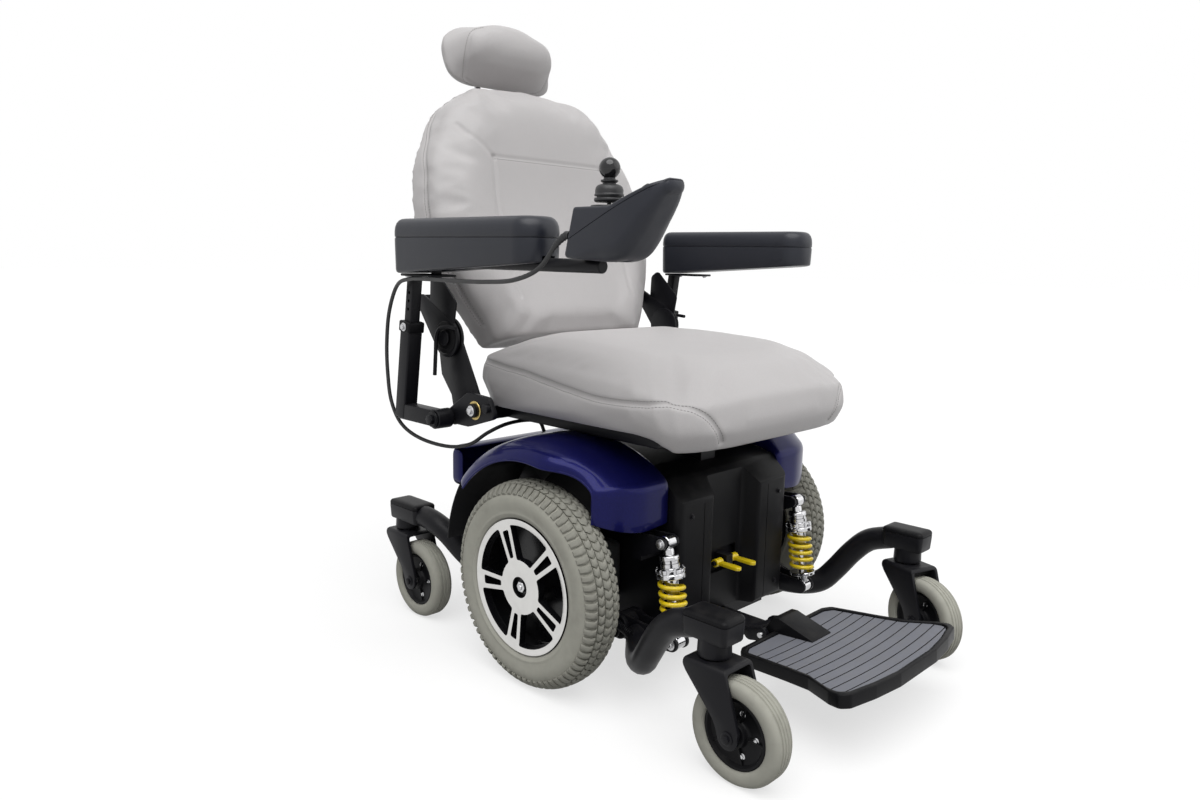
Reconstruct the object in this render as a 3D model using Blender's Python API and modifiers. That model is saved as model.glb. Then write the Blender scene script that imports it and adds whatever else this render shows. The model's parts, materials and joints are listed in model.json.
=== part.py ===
"""Power wheelchair: sprung six-wheel base, upholstered seat and joystick control.

Metres, +Z up. The chair stands on z = 0 and faces -Y, and its left side is +X.
"""
import math

import bmesh
import bpy
from mathutils import Matrix, Vector

# Driving dimensions of the base.
AXLE_Y = 0.0079           # drive axle, measured from the middle of the chair's length
DRIVE_RADIUS = 0.178      # 14 inch drive tyre
DRIVE_TRACK = 0.308       # middle of a drive tyre from the mid plane
RIM_RADIUS = 0.1155
SPOKE_TURN = 43.0         # degrees, how the drive rims stand
CASTER_RADIUS = 0.0765    # 6 inch caster tyre
CASTER_RIM = 0.052
CASTER_TRAIL = 0.051      # caster axle ahead of its swivel axis, after rolling back
FRONT_SWIVEL = (0.296, -0.372)
REAR_SWIVEL = (0.278, 0.428)
LEFT_CASTER_TURN = -18.0  # degrees, how the left front caster stands
ARM_TUBE = 0.0215         # radius of the caster arms' tube
FRONT_PIVOT = (0.190, -0.105, 0.105)
REAR_PIVOT = (0.190, 0.175, 0.098)
SHOCK_TOP = (0.190, -0.191, 0.270)
SHOCK_FOOT = (0.190, -0.217, 0.107)
TUB_HALF = 0.150          # half width of the chassis tub
TUB_FRONT = -0.150
TUB_REAR = 0.222
TUB_FLOOR = 0.068
TUB_TOP = 0.275
COVER_HALF = 0.158        # half width of the black front and top cover
COVER_FRONT = -0.190
COVER_TOP = 0.372
POST_PLACES = (-0.100, 0.150)
FENDER_RADIUS = 0.246     # crown of the shroud's arch over the drive axle
FENDER_FRONT = 40.0       # degrees from straight up
FENDER_REAR = 50.0
FOOT_HINGE = (0.0, -0.278, 0.094)
FOOT_TILT = 5.0
LEVER_PIN = (0.0, -0.168, 0.190)

# Driving dimensions of the seat.
SEAT_HALF = 0.289
SEAT_FRONT = -0.285
SEAT_REAR = 0.220
SEAT_BASE = 0.4535
SEAT_EDGE = 0.538
SEAT_CROWN = 0.038
FRAME_LOW = 0.4256
ARM_PIVOT = (0.200, 0.4385)       # y, z of the armrest's flip pivot
RECLINE = (0.250, 0.575)          # y, z of the backrest's hinge
BACK_TILT = 19.0
BACK_THICK = 0.0945
BACK_HOLLOW = 0.034       # depth of the middle panel between the side bolsters
BACK_OUTLINE = ((-0.012, 0.205), (0.08, 0.256), (0.16, 0.287), (0.24, 0.300), (0.32, 0.286),
                (0.40, 0.248), (0.46, 0.206), (0.50, 0.152), (0.516, 0.105))
BACK_SEAM = 0.345         # height of the sewn line across the backrest
HEAD_MIDDLE = (0.0, 0.014, 0.609)
HEAD_HALF = (0.146, 0.054, 0.076)
STAY_X = 0.060
STAY_Y = 0.054

# Driving dimensions of the armrests and the joystick.
ARM_X = 0.3575            # middle of an armrest from the mid plane
PAD_HALF = 0.0425
PAD_FRONT = -0.083
PAD_REAR = 0.286
PAD_TOP = 0.785
SLEEVE_FOOT = (0.308, 0.4385)     # y, z of the sleeve's lower end
SLEEVE_LEAN = 8.0
STICK_PIVOT = (-ARM_X, -0.205, 0.804)
PANEL_TILT = 12.3         # slope of the joystick's top panel
BALL_RADIUS = 0.015
CORD_RADIUS = 0.0035

GAP = 0.0003              # between pieces that touch
WHEEL_STEPS = 25          # facets round a drive wheel
CASTER_STEPS = 16         # facets round a caster
WELD = 0.00001
SIDES = (("left", 1), ("right", -1))

# Finishes: colour, roughness, metallic.
FINISHES = {
    "black_plastic": ((0.018, 0.018, 0.020), 0.45, 0.0),
    "black_paint": ((0.014, 0.014, 0.016), 0.40, 0.3),
    "blue_paint": ((0.020, 0.022, 0.190), 0.18, 0.4),
    "grey_tyre": ((0.330, 0.330, 0.285), 0.85, 0.0),
    "cast_rim": ((0.720, 0.720, 0.710), 0.32, 1.0),
    "chrome": ((0.780, 0.780, 0.790), 0.15, 1.0),
    "yellow_coil": ((0.860, 0.640, 0.010), 0.30, 0.0),
    "grey_vinyl": ((0.400, 0.375, 0.345), 0.50, 0.0),
    "black_rubber": ((0.025, 0.025, 0.027), 0.75, 0.0),
    "battery_case": ((0.060, 0.062, 0.066), 0.60, 0.0),
    "motor_grey": ((0.160, 0.165, 0.170), 0.45, 0.6),
}

parts = bpy.data.collections.new("power_wheelchair")
cutters = bpy.data.collections.new("cutters")


def clear_scene():
    """Remove what a new file holds, and add this chair's two collections."""
    for obj in list(bpy.data.objects):
        bpy.data.objects.remove(obj)
    for group in (parts, cutters):
        bpy.context.scene.collection.children.link(group)


def finish(name):
    """The named finish as a material, made once."""
    material = bpy.data.materials.get(name)
    if material:
        return material
    material = bpy.data.materials.new(name)
    material.use_nodes = True
    colour, rough, metal = FINISHES[name]
    shader = material.node_tree.nodes["Principled BSDF"]
    shader.inputs["Base Color"].default_value = (*colour, 1.0)
    shader.inputs["Roughness"].default_value = rough
    shader.inputs["Metallic"].default_value = metal
    return material


def empty(name, at, parent=None, turn=(0.0, 0.0, 0.0)):
    """An empty on a joint's axis, turned by degrees about X, Y and Z."""
    obj = bpy.data.objects.new(name, None)
    parts.objects.link(obj)
    obj.parent = parent
    obj.location = at
    obj.rotation_euler = [math.radians(angle) for angle in turn]
    return obj


def place(name, mesh, look, parent, origin=(0.0, 0.0, 0.0), smooth=40.0):
    """Add a finished mesh as a sub-part whose origin is at the given point."""
    mesh.name = name
    mesh.transform(Matrix.Translation(-Vector(origin)))
    mesh.shade_smooth()
    mesh.set_sharp_from_angle(angle=math.radians(smooth))
    mesh.materials.clear()
    mesh.materials.append(finish(look))
    obj = bpy.data.objects.new(name, mesh)
    parts.objects.link(obj)
    obj.parent = parent
    obj.location = origin
    return obj


def helper(data):
    """A hidden object that carries a mesh or curve while a shape is worked out."""
    obj = bpy.data.objects.new("helper", data)
    cutters.objects.link(obj)
    obj.hide_render = True
    obj.display_type = "WIRE"
    return obj


def take_mesh(obj):
    """The object's shape with its modifiers, welded, facing out. The object is dropped."""
    bpy.context.view_layer.update()
    graph = bpy.context.evaluated_depsgraph_get()
    mesh = bpy.data.meshes.new_from_object(obj.evaluated_get(graph))
    bpy.data.objects.remove(obj)
    shape = bmesh.new()
    shape.from_mesh(mesh)
    bmesh.ops.remove_doubles(shape, verts=shape.verts, dist=WELD)
    bmesh.ops.recalc_face_normals(shape, faces=shape.faces)
    return to_mesh(shape, mesh)


def to_mesh(shape, mesh=None):
    """Close a bmesh into a mesh."""
    mesh = mesh or bpy.data.meshes.new("shape")
    shape.to_mesh(mesh)
    shape.free()
    return mesh


def boolean(base, others, operation):
    """Join other meshes to a base mesh, or cut them from it, in turn."""
    body = helper(base)
    tools = [helper(other) for other in others]
    for tool in tools:
        step = body.modifiers.new(operation, "BOOLEAN")
        step.operation = operation
        step.solver = "EXACT"
        step.object = tool
    mesh = take_mesh(body)
    for tool in tools:
        bpy.data.objects.remove(tool)
    return mesh


def join(*shapes):
    return boolean(shapes[0], shapes[1:], "UNION")


def cut(base, *tools):
    return boolean(base, tools, "DIFFERENCE")


def gather(shapes):
    """Several separate cutters as one mesh."""
    shape = bmesh.new()
    for mesh in shapes:
        shape.from_mesh(mesh)
    return to_mesh(shape)


def span(low, high, bevel=0.0):
    """A box between two corners, given in any order."""
    shape = bmesh.new()
    bmesh.ops.create_cube(shape, size=1.0)
    size = [abs(b - a) for a, b in zip(low, high)]
    middle = [(a + b) / 2 for a, b in zip(low, high)]
    bmesh.ops.scale(shape, vec=size, verts=shape.verts)
    if bevel:
        bmesh.ops.bevel(shape, geom=shape.edges[:], offset=bevel, segments=1,
                        profile=0.5, affect="EDGES")
    bmesh.ops.translate(shape, vec=middle, verts=shape.verts)
    return to_mesh(shape)


def rod(start, end, radius, sides=16, tip=None):
    """A round bar between two points, or a cone with its own tip radius."""
    start, end = Vector(start), Vector(end)
    shape = bmesh.new()
    bmesh.ops.create_cone(shape, cap_ends=True, segments=sides, radius1=radius,
                          radius2=radius if tip is None else tip, depth=(end - start).length)
    turn = (end - start).to_track_quat("Z", "Y").to_matrix().to_4x4()
    bmesh.ops.transform(shape, matrix=Matrix.Translation((start + end) / 2) @ turn,
                        verts=shape.verts)
    return to_mesh(shape)


def rod_x(low, high, y, z, radius, sides=16):
    return rod((low, y, z), (high, y, z), radius, sides)


def turned(profile, steps):
    """A profile of (radius, height) points turned about Z, closed unless it meets the axis."""
    count = len(profile)
    edges = [(i, i + 1) for i in range(count - 1)]
    if profile[0][0] > 0:
        edges.append((count - 1, 0))
    mesh = bpy.data.meshes.new("profile")
    mesh.from_pydata([(r, 0.0, h) for r, h in profile], edges, [])
    obj = helper(mesh)
    turn = obj.modifiers.new("turn", "SCREW")
    turn.steps = turn.render_steps = steps
    turn.use_merge_vertices = True
    turn.merge_threshold = 0.0001
    return take_mesh(obj)


def mirrored(half):
    """A profile's upper half with its mirror image below."""
    return list(half) + [(r, -h) for r, h in reversed(half)]


def along_x(mesh):
    """Turn a mesh made about Z so that its axis is X."""
    mesh.transform(Matrix.Rotation(math.radians(90), 4, "Y"))
    return mesh


def wheel_round(profile, steps):
    """A turned wheel whose flats, not its corners, lie at the profile's radius and face down."""
    flat = math.cos(math.pi / steps)
    mesh = turned([(r / flat, h) for r, h in profile], steps)
    mesh.transform(Matrix.Rotation(math.pi / steps, 4, "Z"))
    return mesh


def prism(outline, low, high):
    """A flat outline of (x, y) points, thickened from low to high along Z."""
    curve = bpy.data.curves.new("outline", "CURVE")
    curve.dimensions = "2D"
    curve.fill_mode = "BOTH"
    curve.extrude = (high - low) / 2
    spline = curve.splines.new("POLY")
    spline.points.add(len(outline) - 1)
    for knot, (x, y) in zip(spline.points, outline):
        knot.co = (x, y, 0.0, 1.0)
    spline.use_cyclic_u = True
    mesh = take_mesh(helper(curve))
    mesh.transform(Matrix.Translation((0.0, 0.0, (low + high) / 2)))
    return mesh


def prism_x(outline, low, high):
    """A flat outline of (y, z) points, thickened between two x values in any order."""
    mesh = prism(outline, min(low, high), max(low, high))
    mesh.transform(Matrix(((0, 0, 1, 0), (1, 0, 0, 0), (0, 1, 0, 0), (0, 0, 0, 1))))
    return mesh


def softened(mesh, width, segments=1):
    """Round off a mesh's sharp edges."""
    shape = bmesh.new()
    shape.from_mesh(mesh)
    sharp = [e for e in shape.edges if e.calc_face_angle(0.0) > math.radians(30)]
    bmesh.ops.bevel(shape, geom=sharp, offset=width, segments=segments, profile=0.5,
                    affect="EDGES", clamp_overlap=True)
    return to_mesh(shape, mesh)


def tube(points, radius, resolution=2):
    """A round tube along the points."""
    curve = bpy.data.curves.new("tube", "CURVE")
    curve.dimensions = "3D"
    curve.bevel_depth = radius
    curve.bevel_resolution = resolution
    curve.use_fill_caps = True
    spline = curve.splines.new("POLY")
    spline.points.add(len(points) - 1)
    for knot, point in zip(spline.points, points):
        knot.co = (*point, 1.0)
    return take_mesh(helper(curve))


def smooth_route(knots, count):
    """Evenly spaced points on a smooth curve through the knots."""
    knots = [Vector(knot) for knot in knots]
    chain = [2 * knots[0] - knots[1], *knots, 2 * knots[-1] - knots[-2]]
    fine = []
    steps = 24
    for a, b, c, d in zip(chain, chain[1:], chain[2:], chain[3:]):
        for step in range(steps):
            t = step / steps
            fine.append(0.5 * (2 * b + (c - a) * t + (2 * a - 5 * b + 4 * c - d) * t ** 2
                               + (3 * b - a - 3 * c + d) * t ** 3))
    fine.append(knots[-1])
    walked = [0.0]
    for a, b in zip(fine, fine[1:]):
        walked.append(walked[-1] + (b - a).length)
    route, at = [], 0
    for index in range(count):
        goal = walked[-1] * index / (count - 1)
        while at < len(fine) - 2 and walked[at + 1] < goal:
            at += 1
        share = (goal - walked[at]) / (walked[at + 1] - walked[at])
        route.append(fine[at].lerp(fine[at + 1], min(share, 1.0)))
    return route


def capsule(first, second, radius_one, radius_two, points=6):
    """The (y, z) outline round two circles of unlike radius."""
    first, second = Vector(first), Vector(second)
    away = (second - first).normalized()
    lean = math.asin((radius_one - radius_two) / (second - first).length)
    heading = math.atan2(away.y, away.x)
    outline = []
    for centre, radius, start, sweep in (
            (second, radius_two, heading - math.pi / 2 + lean, math.pi - 2 * lean),
            (first, radius_one, heading + math.pi / 2 - lean, math.pi + 2 * lean)):
        for step in range(points + 1):
            angle = start + sweep * step / points
            outline.append((centre.x + radius * math.cos(angle),
                            centre.y + radius * math.sin(angle)))
    return outline


def rounded_plan(x, half, front, rear, nose, tail):
    """Outline of an oblong about x, with its own corner radius in front and behind."""
    outline = []
    for side, y, radius, start in ((1, rear - tail, tail, 0), (-1, rear - tail, tail, 90),
                                   (-1, front + nose, nose, 180), (1, front + nose, nose, 270)):
        for step in range(5):
            angle = math.radians(start + 22.5 * step)
            outline.append((x + side * (half - radius) + radius * math.cos(angle),
                            y + radius * math.sin(angle)))
    return outline


def padded(columns, rows, face, wall, depths):
    """A closed soft form: a face over a grid of (s, t), walls down to a flat back."""
    shape = bmesh.new()
    grid = [[shape.verts.new(face(s, t)) for s in columns] for t in rows]
    wide, tall = len(columns), len(rows)
    for j in range(tall - 1):
        for i in range(wide - 1):
            shape.faces.new((grid[j][i], grid[j][i + 1], grid[j + 1][i + 1], grid[j + 1][i]))
    rim = [(0, i) for i in range(wide - 1)] + [(j, wide - 1) for j in range(tall - 1)]
    rim += [(tall - 1, i) for i in range(wide - 1, 0, -1)] + [(j, 0) for j in range(tall - 1, 0, -1)]
    ring = [grid[j][i] for j, i in rim]
    for depth in depths:
        below = [shape.verts.new(wall(columns[i], rows[j], depth)) for j, i in rim]
        for k in range(len(ring)):
            n = (k + 1) % len(ring)
            shape.faces.new((ring[k], below[k], below[n], ring[n]))
        ring = below
    shape.faces.new(ring)
    bmesh.ops.recalc_face_normals(shape, faces=shape.faces)
    return to_mesh(shape)


def even(count):
    """Numbers spread evenly from -1 to 1."""
    return [-1 + 2 * i / (count - 1) for i in range(count)]


def squircle(s, t, power):
    """How far a square's point moves in, so that the square's rim gets round corners."""
    reach = (abs(s) ** power + abs(t) ** power) ** (1 / power)
    return max(abs(s), abs(t)) / reach if reach else 1.0


def rise(share):
    """A smooth step from 0 to 1."""
    share = max(0.0, min(1.0, share))
    return share * share * (3 - 2 * share)


def chassis_frame(chair):
    """Welded tub that holds the batteries, with pivot pins, shock towers and cross members."""
    wall = 0.004
    tub = cut(span((-TUB_HALF, TUB_FRONT, TUB_FLOOR), (TUB_HALF, TUB_REAR, TUB_TOP)),
              span((wall - TUB_HALF, TUB_FRONT + wall, TUB_FLOOR + wall),
                   (TUB_HALF - wall, TUB_REAR - wall, TUB_TOP + wall)))
    inside = TUB_HALF - wall / 2
    adds = [span((-inside, y - 0.020, TUB_TOP - 0.012), (inside, y + 0.020, TUB_TOP - 0.001))
            for y in POST_PLACES]
    _, y, z = LEVER_PIN
    adds.append(span((-0.009, y - 0.010, z - 0.012), (0.009, TUB_FRONT + 0.002, z + 0.012)))
    adds.append(rod_x(-0.036, 0.036, y, z, 0.004, 8))
    for _, side in SIDES:
        for pivot in (FRONT_PIVOT, REAR_PIVOT):
            adds.append(rod_x(side * inside, side * 0.2175, *pivot[1:], 0.012, 8))
            adds.append(rod_x(side * 0.2165, side * 0.2225, *pivot[1:], 0.017, 6))
        adds.append(span((side * inside, TUB_FRONT, 0.232), (side * 0.208, -0.130, 0.2735)))
        top = SHOCK_TOP[2]
        for ear in (0.172, 0.202):
            adds.append(prism_x(capsule((-0.145, top - 0.012), (SHOCK_TOP[1], top), 0.020, 0.010, 3),
                                side * ear, side * (ear + 0.006)))
        adds.append(rod_x(side * 0.173, side * 0.207, *SHOCK_TOP[1:], 0.0045, 8))
    place("chassis_frame", join(tub, *adds), "black_paint", chair)


def batteries_and_module(chair):
    """Two batteries side by side, with the power module behind them."""
    for name, side in SIDES:
        case = span((side * 0.002, -0.144, TUB_FLOOR + 0.0045), (side * 0.142, 0.083, 0.250), 0.004)
        place(name + "_battery", case, "battery_case", chair)
    low = (-0.110, 0.100, TUB_FLOOR + 0.0045)
    base = span(low, (0.110, 0.210, 0.150), 0.004)
    fins = [span((x - 0.004, 0.105, 0.148), (x + 0.004, 0.205, 0.165)) for x in
            (-0.09, -0.06, -0.03, 0.0, 0.03, 0.06, 0.09)]
    place("power_module", join(base, *fins), "motor_grey", chair)


def motor(name, side, chair):
    """Right-angle gearbox on the tub's side, with its motor lying behind it."""
    x, z = 0.205, DRIVE_RADIUS
    box = span((side * (TUB_HALF + GAP), -0.055, z - 0.053), (side * 0.262, 0.055, z + 0.054), 0.012)
    can = rod((side * x, 0.045, z), (side * x, 0.186, z), 0.040, 16)
    brake = rod((side * x, 0.184, z), (side * x, 0.205, z), 0.033, 12)
    bore = rod_x(side * 0.246, side * 0.270, 0.0, z, 0.0172, 14)
    place(name + "_motor", cut(join(box, can, brake), bore), "motor_grey", chair)


def battery_cover(chair):
    """Black moulding over the tub: apron with a lever recess in front, deck on top."""
    shell, low = 0.003, 0.096
    front, rear, top = COVER_FRONT, TUB_REAR + 0.0005, COVER_TOP

    def profile(inset):
        return ((front + inset, low - inset), (front + inset, 0.325 - inset * 0.4),
                (-0.150 + inset * 0.4, 0.362 - inset), (-0.100, top - inset),
                (rear - inset, top - inset), (rear - inset, low - inset))

    half = COVER_HALF
    body = cut(prism_x(profile(0.0), -half, half),
               prism_x(profile(shell), shell - half, half - shell),
               span((-0.2, TUB_FRONT - 0.0015, 0.05), (0.2, 0.3, TUB_TOP + 0.0005)))
    pocket = span((-0.062, front + 0.001, low), (0.062, -0.157, 0.340))
    recess = span((-0.056, front - 0.01, low - 0.01), (0.056, -0.160, 0.334))
    window = span((-0.040, -0.165, 0.168), (0.040, -0.150, 0.212))
    holes = [span((-0.0215, y - 0.0215, 0.36), (0.0215, y + 0.0215, 0.38)) for y in POST_PLACES]
    gland = rod((-0.125, 0.185, top - 0.001), (-0.125, 0.185, top + 0.014), 0.008, 12, 0.006)
    body = cut(join(body, pocket), recess, window, *holes)
    place("battery_cover", join(body, gland), "black_plastic", chair)


def shroud(name, side, chair):
    """Blue arch over a drive wheel, with an inner wall, a rolled lip and a front panel."""
    crown = FENDER_RADIUS
    inner = COVER_HALF + 0.0025
    profile = ((inner, crown - 0.056), (inner, crown - 0.012), (0.172, crown - 0.003), (0.210, crown),
               (0.275, crown), (0.310, crown - 0.005), (0.329, crown - 0.016), (0.336, crown - 0.032))
    mesh = bpy.data.meshes.new("profile")
    mesh.from_pydata([(r, 0.0, -side * x) for x, r in profile],
                     [(i, i + 1) for i in range(len(profile) - 1)], [])
    obj = helper(mesh)
    turn = obj.modifiers.new("turn", "SCREW")
    turn.angle = math.radians(FENDER_FRONT + FENDER_REAR)
    turn.steps = turn.render_steps = 10
    shell = obj.modifiers.new("shell", "SOLIDIFY")
    shell.thickness = 0.003
    shell.offset = 0.0
    mesh = take_mesh(obj)
    lean = math.radians(FENDER_FRONT)
    ahead = Vector((0.0, -math.sin(lean), math.cos(lean)))
    across = Vector((0.0, math.cos(lean), math.sin(lean)))
    turn = Matrix((ahead, across, (-1.0, 0.0, 0.0))).transposed().to_4x4()
    mesh.transform(Matrix.Translation((0.0, 0.0, DRIVE_RADIUS)) @ turn)
    corner = ((0.360, -0.085), (0.332, -0.090), (0.295, -0.138), (0.262, -0.150), (0.262, -0.300),
              (0.360, -0.300))
    arch = cut(mesh, prism([(side * x, y) for x, y in corner], 0.200, 0.500))
    panel = span((side * (inner + 0.002), -0.1605, 0.285), (side * 0.258, -0.1565, 0.3675))
    place(name + "_shroud", join(arch, panel), "blue_paint", chair)


def rear_cover(chair):
    """Blue tail panel behind the deck, open below, on two bosses."""
    half, low, high, shell = 0.286, 0.292, 0.370, 0.003
    front, rear = 0.228, 0.262
    outer = softened(span((-half, front, low), (half, rear + 0.02, high)), 0.018, 2)
    trim = span((-0.4, rear, 0.1), (0.4, 0.4, 0.5))
    inner = span((shell - half, front - 0.03, low - 0.03), (half - shell, rear - shell, high - shell))
    bosses = [span((x - 0.012, TUB_REAR + 0.0010, 0.310), (x + 0.012, rear - 0.001, 0.335))
              for x in (-0.1, 0.1)]
    place("rear_cover", join(cut(outer, trim, inner), *bosses), "blue_paint", chair)


def freewheel_lever(name, side, chair):
    """Yellow brake release lever in the front recess, level when driving."""
    _, y, z = LEVER_PIN
    near, far = side * 0.013, side * 0.031
    blade = span((near, y - 0.056, z - 0.003), (far, y + 0.003, z + 0.003), 0.0012)
    lever = cut(join(rod_x(side * 0.012, side * 0.032, y, z, 0.0075, 10), blade),
                rod_x(side * 0.005, side * 0.035, y, z, 0.0046, 8))
    place(name + "_freewheel_lever", lever, "yellow_coil", chair, (side * 0.022, y, z))


def drive_tyre_mesh():
    half = ((RIM_RADIUS + GAP, 0.030), (0.130, 0.037), (0.152, 0.038), (0.170, 0.029),
            (DRIVE_RADIUS, 0.010))
    return along_x(wheel_round(mirrored(half), WHEEL_STEPS))


def drive_rim_mesh():
    """Cast wheel: hub, five twin-bar spokes and a wide rim, with a stub axle inside."""
    rim = RIM_RADIUS
    profile = ((0.0, 0.035), (0.036, 0.034), (0.100, 0.031), (rim, 0.037), (rim, -0.031),
               (0.106, -0.031), (0.102, 0.017), (0.032, 0.018), (0.030, -0.042), (0.016, -0.042),
               (0.016, -0.058), (0.0, -0.058))
    body = wheel_round(profile, WHEEL_STEPS)
    windows = []
    for spoke in range(5):
        turn = Matrix.Rotation(math.radians(72 * spoke + 90 + SPOKE_TURN), 4, "Z")
        slot = prism(((0.051, -0.004), (0.088, -0.0052), (0.0915, 0.0), (0.088, 0.0052), (0.051, 0.004)),
                     0.0, 0.05)
        gap = [(r * math.cos(math.radians(36 + a)), r * math.sin(math.radians(36 + a)))
               for r, a in ((0.047, -15), (0.092, -24), (0.0955, -12), (0.0965, 0), (0.0955, 12),
                            (0.092, 24), (0.047, 15))]
        for window in (slot, prism(gap, 0.0, 0.05)):
            window.transform(turn)
            windows.append(window)
    return along_x(cut(body, gather(windows)))


def drive_wheel(name, side, chair, tyre, rim):
    """Tyre and rim on an empty at the wheel's centre, turned so that the spokes face out."""
    hub = empty(name + "_drive_axle", (side * DRIVE_TRACK, 0.0, DRIVE_RADIUS), chair,
                (0.0, 0.0, 0.0 if side > 0 else 180.0))
    place(name + "_drive_tyre", tyre.copy(), "grey_tyre", hub)
    place(name + "_drive_rim", rim.copy(), "cast_rim", hub)


def caster_tyre_mesh():
    half = ((CASTER_RIM + GAP, 0.0155), (0.062, 0.0205), (0.0725, 0.0185), (CASTER_RADIUS, 0.007))
    return along_x(wheel_round(mirrored(half), CASTER_STEPS))


def caster_hub_mesh():
    half = ((0.0068, 0.0195), (0.019, 0.0195), (0.022, 0.009), (CASTER_RIM, 0.0155))
    return along_x(wheel_round(mirrored(half), CASTER_STEPS))


def fork_mesh():
    """Caster fork with its stem and axle bolt. The swivel axis is x = y = 0."""
    axle = (-CASTER_TRAIL, CASTER_RADIUS)
    crown = span((-0.0345, -0.040, 0.158), (0.0345, 0.031, 0.1705))
    leg = ((0.026, 0.164), (-0.037, 0.164), (axle[0] - 0.017, axle[1] + 0.010),
           (axle[0] - 0.016, axle[1] - 0.008), (axle[0], axle[1] - 0.017),
           (axle[0] + 0.016, axle[1] - 0.008), (axle[0] + 0.022, axle[1] + 0.014), (0.026, 0.148))
    legs = [prism_x(leg, side * 0.0265, side * 0.0325) for _, side in SIDES]
    stem = rod((0.0, 0.0, 0.166), (0.0, 0.0, 0.212), 0.0095, 10)
    bolt = rod_x(-0.036, 0.036, *axle, 0.006, 8)
    heads = [rod_x(side * 0.0315, side * 0.0385, *axle, 0.0105, 6) for _, side in SIDES]
    return join(crown, *legs, stem, bolt, *heads)


def caster(name, swivel, shapes):
    """Fork on its swivel, with a wheel on the fork's axle."""
    fork, tyre, hub = shapes
    place(name + "_fork", fork.copy(), "black_paint", swivel)
    axle = empty(name + "_axle", (0.0, -CASTER_TRAIL, CASTER_RADIUS), swivel)
    place(name + "_caster_tyre", tyre.copy(), "grey_tyre", axle)
    place(name + "_caster_hub", hub.copy(), "black_plastic", axle)


def swivel_head(x, y, top, ahead, behind):
    """The block on the end of a caster arm, with its barrel, before the bore is cut."""
    block = span((x - 0.026, y - ahead, top - 0.046), (x + 0.026, y + behind, top))
    return [block, rod((x, y, 0.172), (x, y, top - 0.030), 0.0255, 12)]


def front_arm(name, side, chair):
    """Sprung front arm: pivot sleeve, two plates to the shock's foot, bent tube, swivel head."""
    x, y, z = FRONT_PIVOT
    head_x, head_y = FRONT_SWIVEL
    plates = [prism_x(capsule((y, z), SHOCK_FOOT[1:], 0.022, 0.013, 3), side * low, side * (low + 0.006))
              for low in (0.1735, 0.2005)]
    bends = ((0.200, -0.142, 0.100), (0.220, -0.160, 0.092), (0.248, -0.186, 0.088),
             (0.266, -0.212, 0.097), (0.278, -0.233, 0.122), (0.289, -0.263, 0.164),
             (0.295, -0.293, 0.193), (head_x, -0.336, 0.209))
    bends = [(side * bend[0], bend[1], bend[2]) for bend in bends]
    arm = join(rod_x(side * 0.163, side * 0.2135, y, z, 0.022, 12), *plates,
               rod_x(side * 0.175, side * 0.205, *SHOCK_FOOT[1:], 0.0042, 8),
               tube(smooth_route(bends, 13), ARM_TUBE, 2),
               *swivel_head(side * head_x, head_y, 0.236, 0.036, 0.044))
    arm = cut(arm, rod_x(side * 0.155, side * 0.23, y, z, 0.0128, 10),
              rod((side * head_x, head_y, 0.15), (side * head_x, head_y, 0.216), 0.0108, 10))
    place(name + "_front_arm", arm, "black_paint", chair, (side * x, y, z))


def rear_arm(name, side, chair):
    """Rear arm: pivot sleeve and a bent tube up to its swivel head."""
    x, y, z = REAR_PIVOT
    head_x, head_y = REAR_SWIVEL
    bends = ((0.189, 0.184, z), (0.194, 0.209, z), (0.220, 0.238, 0.112), (0.250, 0.267, 0.146),
             (0.271, 0.303, 0.187), (head_x, 0.345, 0.204), (head_x, 0.395, 0.207))
    bends = [(side * bend[0], bend[1], bend[2]) for bend in bends]
    arm = join(rod_x(side * 0.163, side * 0.2135, y, z, 0.022, 12),
               tube(smooth_route(bends, 11), ARM_TUBE, 2),
               *swivel_head(side * head_x, head_y, 0.230, 0.062, 0.032))
    arm = cut(arm, rod_x(side * 0.155, side * 0.23, y, z, 0.0128, 10),
              rod((side * head_x, head_y, 0.15), (side * head_x, head_y, 0.216), 0.0108, 10))
    place(name + "_rear_arm", arm, "black_paint", chair, (side * x, y, z))


def coil_points(radius, top, bottom, turns, lead):
    """The middle line of a coil about Z, with a straight lead at each end."""
    per_turn = 8
    count = int(turns * per_turn)
    points = []
    for i in range(count + 1):
        angle = 2 * math.pi * i / per_turn
        share = i / count
        points.append(Vector((radius * math.cos(angle), radius * math.sin(angle),
                              top + (bottom - top) * share)))
    for index, inner in ((0, 1), (-1, -2)):
        away = points[index] - points[inner]
        away.z = 0.0
        end = points[index] + away.normalized() * lead
        points.insert(0 if index == 0 else len(points), end)
    return points


def least_gap(points, wire, neighbours):
    """The smallest space between turns of one tube, on points spread along it."""
    dense = [a.lerp(b, k / 4) for a, b in zip(points, points[1:]) for k in range(4)]
    reach = neighbours * 4
    nearest = min((p - q).length for i, p in enumerate(dense) for q in dense[i + reach:])
    return nearest - 2 * wire


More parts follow.
